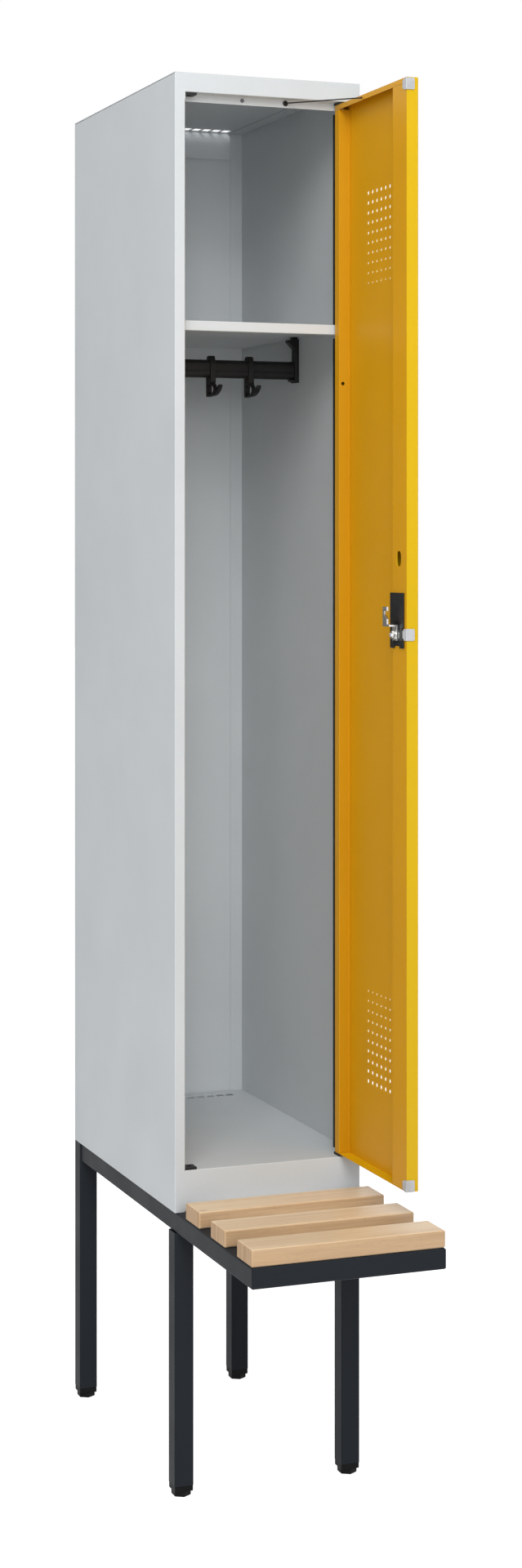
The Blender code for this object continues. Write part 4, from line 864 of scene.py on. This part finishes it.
def lock():
    shape = solid("lock_cam")
    round_over(shape, corners(shape), CAM_EASE, EASE_SEGMENTS)
    finished("lock_cam", shape)
    axis = middle_of("lock_barrel")
    skin = low_high("door_shell")[1].x
    centre = (skin, axis.y, axis.z)
    finished("lock_barrel", turned(in_mm(BARREL_PROFILE), centre, INWARD, BARREL_SIDES, True))
    nut = turned(in_mm(NUT_PROFILE), centre, INWARD, NUT_SIDES)
    washer = turned(in_mm(WASHER_PROFILE), centre, INWARD, hollow=True)
    finished("cam_nut", together(nut, washer))
    spindle = turned(in_mm(CORE_PROFILE), centre, INWARD)
    core = mesh_object("lock_core_finished", spindle, LOOKS["bright_steel"])
    tip, outer = (end.x for end in low_high("lock_core"))
    depth, width, height = KEYWAY
    half = Vector((0, width / 2, height / 2))
    deep, clear = Vector((outer - depth, *centre[1:])), Vector((outer + depth, *centre[1:]))
    combined(core, block(deep - half, clear + half))
    grow(core, thread_tree(), {
        **SPINDLE_THREAD, "Place": (tip + SPINDLE_THREAD["Length"], *centre[1:]),
        "Turn": (0, -math.pi / 2, 0), "Finish": LOOKS["bright_steel"],
    })
    seat(core, "lock_turn", "bright_steel", "lock_core")


def thread_tree():
    """Adds a screw thread to a stem: a sharp-crested ridge that winds along it."""
    tree, given = new_tree(
        "screw thread", Float=("Radius", "Crest", "Pitch", "Length"), Vector=("Place", "Turn"))
    turns = calculated(tree, "DIVIDE", given["Length"], given["Pitch"])
    winding = add(tree, "GeometryNodeCurveSpiral", {
        "Resolution": THREAD_STEPS, "Rotations": turns, "Height": given["Length"],
        "Start Radius": given["Radius"], "End Radius": given["Radius"],
    })
    ridge = add(tree, "GeometryNodeCurvePrimitiveCircle", {
        "Resolution": 4, "Radius": given["Crest"],
    })
    thread = add(tree, "GeometryNodeCurveToMesh", {
        "Curve": winding.outputs[0], "Profile Curve": ridge.outputs[0], "Fill Caps": True,
    })
    placed = add(tree, "GeometryNodeTransform", {
        "Geometry": thread.outputs[0], "Rotation": given["Turn"], "Translation": given["Place"],
    })
    both = add(tree, "GeometryNodeJoinGeometry")
    tree.links.new(placed.outputs[0], both.inputs[0])
    tree.links.new(given["Geometry"], both.inputs[0])
    end_tree(tree, both.outputs[0], given["Finish"])
    return tree


# Hinge pins, each with a collar that rests on a lip of the door
PIN_RADIUS = 3.0 * MM
COLLAR_RADIUS = 5.5 * MM
PIN_COLLAR = 3.0 * MM
PIN_EASE = 0.4 * MM
PIN_SIDES = 32


def hinge_pins():
    door_low, door_high = low_high("door_shell")
    top = door_high.z - SHEET - GAP
    foot = door_low.z + SHEET + GAP
    for node, collar in (("hinge_pin_upper", top - PIN_COLLAR), ("hinge_pin_lower", foot)):
        low, high = low_high(node)
        axis = (low + high) / 2
        pin, wide, ease = PIN_RADIUS, COLLAR_RADIUS, PIN_EASE
        end = collar + PIN_COLLAR
        profile = [
            (pin - ease, low.z), (pin, low.z + ease), (pin, collar), (wide - ease, collar),
            (wide, collar + ease), (wide, end - ease), (wide - ease, end), (pin, end),
            (pin, high.z - ease), (pin - ease, high.z),
        ]
        finished(node, turned(profile, (axis.x, axis.y, 0), UP, PIN_SIDES))


# Restraint of the door: button, plug and cord; profiles as radius and distance from the stop
STOP_FROM_FRONT = 20.3 * MM
FORWARD = (0, -1, 0)
BUTTON_PROFILE = (
    (1.3, 1.3), (1.45, 1.48), (1.9, 1.5), (2.8, 1.36), (3.6, 1.08), (4.1, 0.76), (4.3, 0.5),
    (4.15, 0.3), (2.0, 0.3), (2.0, -3.7), (1.7, -4.0), (1.3, -4.0),
)
PLUG_PROFILE = (
    (1.7, -4.0), (2.0, -3.7), (2.0, 0.3), (2.85, 0.3), (3.0, 0.45), (3.0, 1.0), (2.8, 1.35),
    (2.45, 1.5), (2.15, 1.38), (1.9, 1.1), (0.9, 1.0),
)
BEAD_PROFILE = ((1.2, 0.0), (2.1, 0.15), (2.5, 0.8), (2.5, 2.2), (2.1, 2.85), (1.2, 3.0))
BEAD_SIDES = 24
CORD_DIAMETER = 2.0 * MM
CORD_SIDES = 14
CORD_START = (0.0352, -0.0714, 2.0914)
CORD_CORNER = (0.0352, -0.0797, 2.0914)
CORD_LIP = (0.1156, -0.1812, 2.0878)
CORD_PAST_LIP = 5 * MM
CORD_TURN = 2.5 * MM
TURN_STEPS = 8
RUN_STEPS = 16


def cord_route():
    """The cord's line: out of the button, a small turn, and straight through the door's lip."""
    start, corner, lip = Vector(CORD_START), Vector(CORD_CORNER), Vector(CORD_LIP)
    run = (lip - corner).normalized()
    before = corner + (start - corner).normalized() * CORD_TURN
    after = corner + run * CORD_TURN
    points = [start, (start + before) / 2]
    for i in range(TURN_STEPS + 1):
        share = i / TURN_STEPS
        points.append(before.lerp(corner, share).lerp(corner.lerp(after, share), share))
    end = lip + run * CORD_PAST_LIP
    for i in range(1, RUN_STEPS + 1):
        points.append(after.lerp(end, i / RUN_STEPS))
    return points


def cord_of(points):
    rings = []
    across = Vector((0, 0, 1))
    for i, point in enumerate(points):
        run = (points[min(i + 1, len(points) - 1)] - points[max(i - 1, 0)]).normalized()
        side = run.cross(across).normalized()
        rings.append(circle(point, side, side.cross(run), CORD_DIAMETER / 2, CORD_SIDES))
    return loft(rings)


def restraint():
    front = low_high("side_panel_left")[0].y
    for node, profile, hollow in (
        ("stay_grommet", BUTTON_PROFILE, True), ("hole_plug", PLUG_PROFILE, False),
    ):
        place = middle_of(node)
        centre = (place.x, front + STOP_FROM_FRONT, place.z)
        finished(node, turned(in_mm(profile), centre, FORWARD, hollow=hollow))
    points = cord_route()
    look = LOOKS["black_rubber"]
    run = (points[-1] - points[-2]).normalized()
    for name, body, place, axis in (
        ("cord_bead_inside", "cabinet", points[0], Vector((0, 1, 0))),
        ("cord_bead_on_door", "door", points[-1], run),
    ):
        bead = mesh_object(name, turned(in_mm(BEAD_PROFILE), place, axis, BEAD_SIDES), look)
        seat(bead, body, "black_rubber")
    cord = even_shading(mesh_object("restraint_cord", cord_of(points), look))
    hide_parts("stay_cord")
    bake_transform(cord)


# Hook rail with its sliding hooks
RAIL_POINTS = 24
RAIL_WALL = 1.5 * MM
GROOVE_HEIGHTS = (7.5 * MM, -3.5 * MM)
GROOVE_WIDTH = 1.4 * MM
GROOVE_DEPTH = 0.7 * MM

# Hooks from the side: distance forward and up from the rail's centre, in millimetres
HOOK_SADDLE = (
    (-10.9, -44.5), (-10.9, 6), (-9.8, 13), (-7, 19), (-4.5, 21), (4.5, 21), (7, 19), (9.8, 13),
    (11.4, 6), (11.4, -19), (10.5, -25), (0, -26), (-6.4, -26), (-7.2, -30), (-7.2, -44.5),
)
HOOK_PEG = (
    (-9, -22), (10.9, -20), (13.5, -23.5), (18.5, -26.5), (21.8, -30.5), (22.6, -33.5),
    (25, -36), (29, -35.5), (35, -32), (40, -28.2), (43.5, -27), (46, -28.6), (45, -32),
    (38, -38), (28, -42.5), (16, -44.4), (-9, -44.4),
)
HOOK_EYE = (
    (-7.2, -26), (8, -26), (14, -28), (18.2, -31.5), (18.8, -34.5), (14.5, -38.8), (6, -41.4),
    (-7.2, -41.8),
)
SADDLE_HALF_WIDTH = 4.6 * MM
PEG_HALF_WIDTH = 3.1 * MM
HOOK_EASE = 0.8 * MM
EYE_EASE = 0.5 * MM
EYE_OVERRUN = 4.0 * MM
BORE_OVERRUN = 1.0 * MM
SADDLE_CLEARANCE = 0.6 * MM


def rail_section(width, height, groove=0.0):
    """An upright oval section, from the front round over the top, grooved along its flats."""
    radius = width / 2
    flat = height / 2 - radius
    marks = []
    for level in GROOVE_HEIGHTS if groove else ():
        for share, depth in ((0.5, 0), (0.25, groove), (-0.25, groove), (-0.5, 0)):
            marks.append((level + share * GROOVE_WIDTH, depth))
    turns = [math.pi * i / RAIL_POINTS for i in range(RAIL_POINTS + 1)]
    points = [(-radius * math.cos(turn), flat + radius * math.sin(turn)) for turn in turns]
    points += [(radius - depth, level) for level, depth in marks]
    points += [(radius * math.cos(turn), -flat - radius * math.sin(turn)) for turn in turns]
    points += [(-radius + depth, level) for level, depth in reversed(marks)]
    return points


def hook_rail():
    low, high = low_high("hook_rail")
    centre = (low + high) / 2
    size = high - low
    outside = rail_section(size.y, size.z, GROOVE_DEPTH)
    inside = rail_section(size.y - 2 * RAIL_WALL, size.z - 2 * RAIL_WALL, -GROOVE_DEPTH / 4)
    rings = []
    for section, x in ((outside, low.x), (outside, high.x), (inside, high.x), (inside, low.x)):
        rings.append([(x, centre.y + forward, centre.z + up) for forward, up in section])
    finished("hook_rail", loft(rings, True))


def coat_hooks():
    rail_low, rail_high = low_high("hook_rail")
    rail = (rail_low + rail_high) / 2
    size = rail_high - rail_low
    bore = rail_section(size.y + 2 * SADDLE_CLEARANCE, size.z + 2 * SADDLE_CLEARANCE)
    for label in ("left", "middle", "right"):
        node = "coat_hook_" + label
        centre = Vector((middle_of(node).x, rail.y, rail.z))
        saddle = across_locker(softened(in_mm(HOOK_SADDLE)), centre, SADDLE_HALF_WIDTH, HOOK_EASE)
        peg = across_locker(softened(in_mm(HOOK_PEG)), centre, PEG_HALF_WIDTH, HOOK_EASE)
        outline = softened(in_mm(HOOK_EYE))
        eye = across_locker(outline, centre, PEG_HALF_WIDTH, EYE_EASE, EYE_OVERRUN)
        hook = mesh_object(node + "_finished", saddle, LOOKS["black_plastic"])
        combined(hook, peg, "UNION")
        combined(hook, eye)
        combined(hook, across_locker(bore, centre, SADDLE_HALF_WIDTH, EYE_EASE, BORE_OVERRUN))
        seat(hook, BODY_OF[node], "black_plastic", node)


# Everything below the locker: tubes, slats, inserts and feet
TUBE_ROUNDING = 0.85 * MM
TUBE_NODES = (
    "leg_front_left", "leg_front_right", "leg_rear_left", "leg_rear_right",
    "side_rail_left", "side_rail_right", "cross_rail_front", "cross_rail_rear",
)
SLAT_ROUNDING = 2.8 * MM
SLAT_SEGMENTS = 6


def frame_tubes():
    for node in TUBE_NODES:
        shape = solid(node)
        long_edges = [e for e in corners(shape, FOLD_LENGTH) if e.is_convex]
        round_over(shape, long_edges, TUBE_ROUNDING, EASE_SEGMENTS, False)
        finished(node, shape)


def seat_slats():
    for label in ("front", "middle", "rear"):
        node = "seat_slat_" + label
        shape = block(*low_high(node))
        round_over(shape, shape.edges[:], SLAT_ROUNDING, SLAT_SEGMENTS)
        finished(node, shape)


# Levelling feet: a six-sided pad with a threaded stem
FOOT_SIDES = 6
FOOT_RADIUS = 15 * MM
FOOT_BEVEL = 1.2 * MM
PAD_HEIGHT = 8.3 * MM
PAD_EASE = 0.5 * MM
PAD_TURN = math.radians(20)
STEM_CORE = 3.35 * MM
STEM_ROOT = 1.5 * MM
STEM_SIDES = 28
FOOT_THREAD = {"Radius": 3.4 * MM, "Crest": 0.58 * MM, "Pitch": 1.25 * MM, "Length": 23 * MM}


def hexagon(centre, radius, height):
    """Corners of a foot, one of them to the front."""
    ring = []
    for i in range(FOOT_SIDES):
        turn = 2 * math.pi * (i + 0.5) / FOOT_SIDES
        x, y = centre.x + radius * math.cos(turn), centre.y + radius * math.sin(turn)
        ring.append((x, y, height))
    return ring


def levelling_feet():
    tree = thread_tree()
    for corner in FRAME_CORNERS:
        node = "levelling_foot_" + corner
        low, high = low_high(node)
        centre = (low + high) / 2
        pad = loft([
            hexagon(centre, FOOT_RADIUS - FOOT_BEVEL, 0.0),
            hexagon(centre, FOOT_RADIUS, FOOT_BEVEL),
            hexagon(centre, FOOT_RADIUS, PAD_HEIGHT),
        ])
        rims = [edge for edge in pad.edges if turn_at(edge) > PAD_TURN]
        round_over(pad, rims, PAD_EASE, EASE_SEGMENTS)
        profile = [
            (STEM_CORE, PAD_HEIGHT - STEM_ROOT), (STEM_CORE, high.z - STEM_ROOT),
            (STEM_CORE - STEM_ROOT / 2, high.z),
        ]
        stem = turned(profile, (centre.x, centre.y, 0), UP, STEM_SIDES)
        foot = mesh_object(node + "_finished", together(pad, stem), FOOT_LOOK)
        grow(foot, tree, {
            **FOOT_THREAD, "Place": (centre.x, centre.y, PAD_HEIGHT + STEM_ROOT),
            "Turn": (0, 0, 0), "Finish": FOOT_LOOK,
        })
        seat(foot, BODY_OF[node], "black_plastic", node)


# Screws that hold the slats from below; the front ones stand back from the front rail
SCREW_HEAD = 4.2 * MM
SCREW_TOP = 3.2 * MM
SCREW_HEIGHT = 2.2 * MM
SCREW_SIDES = 28
SCREW_SHIFT = 8 * MM
SOCKET_RADIUS = 2.1 * MM
SOCKET_DEPTH = 1.5 * MM
SOCKET_SIDES = 6


def screw_tree():
    """A socket-head screw on every point, its head hanging down."""
    sizes = ("Head radius", "Top radius", "Height", "Socket radius", "Socket depth")
    tree, given = new_tree("slat screws", Float=sizes)
    head = add(tree, "GeometryNodeMeshCone", {
        "Vertices": SCREW_SIDES, "Depth": given["Height"],
        "Radius Top": given["Head radius"], "Radius Bottom": given["Top radius"],
    })
    socket = add(tree, "GeometryNodeMeshCylinder", {
        "Vertices": SOCKET_SIDES, "Radius": given["Socket radius"],
        "Depth": calculated(tree, "MULTIPLY", given["Socket depth"], 2.0),
    })
    cut = cut_out(tree, head.outputs["Mesh"], socket.outputs["Mesh"])
    drop = calculated(tree, "MULTIPLY", given["Height"], -1.0)
    lowered = add(tree, "ShaderNodeCombineXYZ", {"Z": drop})
    hung = add(tree, "GeometryNodeTransform", {
        "Geometry": cut, "Translation": lowered.outputs[0],
    })
    screws = add(tree, "GeometryNodeInstanceOnPoints", {
        "Points": given["Geometry"], "Instance": hung.outputs[0],
    })
    end_tree(tree, screws.outputs[0], given["Finish"])
    return tree


def slat_screws():
    points = bmesh.new()
    for side in ("left", "right"):
        rail = middle_of("side_rail_" + side)
        under = low_high("side_rail_" + side)[0].z
        for label in ("front", "middle", "rear"):
            slat = middle_of("seat_slat_" + label)
            if label == "front":
                slat.y += SCREW_SHIFT
            points.verts.new((rail.x, slat.y, under))
    screws = mesh_object("slat_screws", points, LOOKS["bright_steel"])
    grow(screws, screw_tree(), {
        "Head radius": SCREW_HEAD, "Top radius": SCREW_TOP, "Height": SCREW_HEIGHT,
        "Socket radius": SOCKET_RADIUS, "Socket depth": SOCKET_DEPTH,
        "Finish": LOOKS["bright_steel"],
    })
    seat(screws, "cabinet", "bright_steel")


folded_sheets(SHEET_NODES, FOLD_LENGTH)
stile_seams()
roof_seams()
door_skin()
folded_sheets(STIFFENER_NODES, DOOR_FOLD_LENGTH)
mouldings()
buffers()
lock()
hinge_pins()
restraint()
hook_rail()
coat_hooks()
frame_tubes()
seat_slats()
levelling_feet()
slat_screws()


# Studio
SKY = {"Color": (0.97, 0.985, 1.0, 1), "Strength": 0.25}
WHITE = {"Color": (1, 1, 1, 1), "Strength": 1.0}
FLOOR_GLOW = 0.8
FLOOR_SIZE = 30
FLOOR_DROP = 0.2 * MM
# Soft lights: name, place, point aimed at, width, height and power
SOFTBOXES = (
    ("front_softbox", (-0.9, -4.6, 2.5), (0.0, 0.0, 1.1), 2.4, 2.6, 83),
    ("left_softbox", (-4.2, -0.6, 2.4), (0.0, 0.0, 1.3), 2.4, 2.4, 29),
    ("high_softbox", (-1.6, -3.0, 4.0), (0.0, 0.0, 1.0), 2.0, 2.0, 86),
    ("top_softbox", (0.0, -0.6, 4.6), (0.0, 0.0, 1.0), 2.4, 2.4, 30),
)


def white_for_the_eye(tree):
    """One where the camera, a reflection or a view through glass looks, and nought elsewhere."""
    path = add(tree, "ShaderNodeLightPath")
    seen = calculated(tree, "MAXIMUM", path.outputs["Is Camera Ray"], path.outputs["Is Glossy Ray"])
    return calculated(tree, "MAXIMUM", seen, path.outputs["Is Transmission Ray"])


def studio_floor():
    shape = bmesh.new()
    bmesh.ops.create_grid(shape, x_segments=1, y_segments=1, size=FLOOR_SIZE)
    material, tree, shader = new_look("pale_floor", 0.9)
    paper = ramp(tree, noise(tree, place_of(tree), 3.0), [(0.3, 0.86), (0.7, 0.89)])
    tree.links.new(paper, shader.inputs["Base Color"])
    shader.inputs["Emission Color"].default_value = (1, 1, 1, 1)
    glow = calculated(tree, "MULTIPLY", white_for_the_eye(tree), FLOOR_GLOW)
    tree.links.new(glow, shader.inputs["Emission Strength"])
    floor = mesh_object("studio_floor", shape, material)
    floor.location.z = -FLOOR_DROP


def studio_world():
    world = bpy.data.worlds.new("studio")
    world.use_nodes = True
    tree = world.node_tree
    tree.nodes.clear()
    soft = add(tree, "ShaderNodeBackground", SKY)
    white = add(tree, "ShaderNodeBackground", WHITE)
    mix = add(tree, "ShaderNodeMixShader", {
        0: white_for_the_eye(tree), 1: soft.outputs[0], 2: white.outputs[0],
    })
    out = tree.nodes.new("ShaderNodeOutputWorld")
    tree.links.new(mix.outputs[0], out.inputs["Surface"])
    bpy.context.scene.world = world


def softbox(name, place, aim, width, height, power):
    data = bpy.data.lights.new(name, "AREA")
    data.shape = "RECTANGLE"
    data.size = width
    data.size_y = height
    data.energy = power
    lamp = bpy.data.objects.new(name, data)
    lamp.location = place
    direction = Vector(aim) - Vector(place)
    lamp.rotation_euler = direction.to_track_quat("-Z", "Y").to_euler()
    bpy.context.scene.collection.objects.link(lamp)


def photo_camera():
    data = bpy.data.cameras.new("photo_camera")
    data.lens = CAMERA_LENS
    data.sensor_width = CAMERA_SENSOR
    data.shift_x, data.shift_y = CAMERA_SHIFT
    data.clip_start, data.clip_end = CAMERA_RANGE
    camera = bpy.data.objects.new("photo_camera", data)
    camera.location = CAMERA_PLACE
    camera.rotation_euler = (math.pi / 2, 0, -CAMERA_TURN)
    bpy.context.scene.collection.objects.link(camera)
    bpy.context.scene.camera = camera


studio_floor()
studio_world()
for settings in SOFTBOXES:
    softbox(*settings)
photo_camera()
bpy.context.scene.view_settings.view_transform = "Standard"
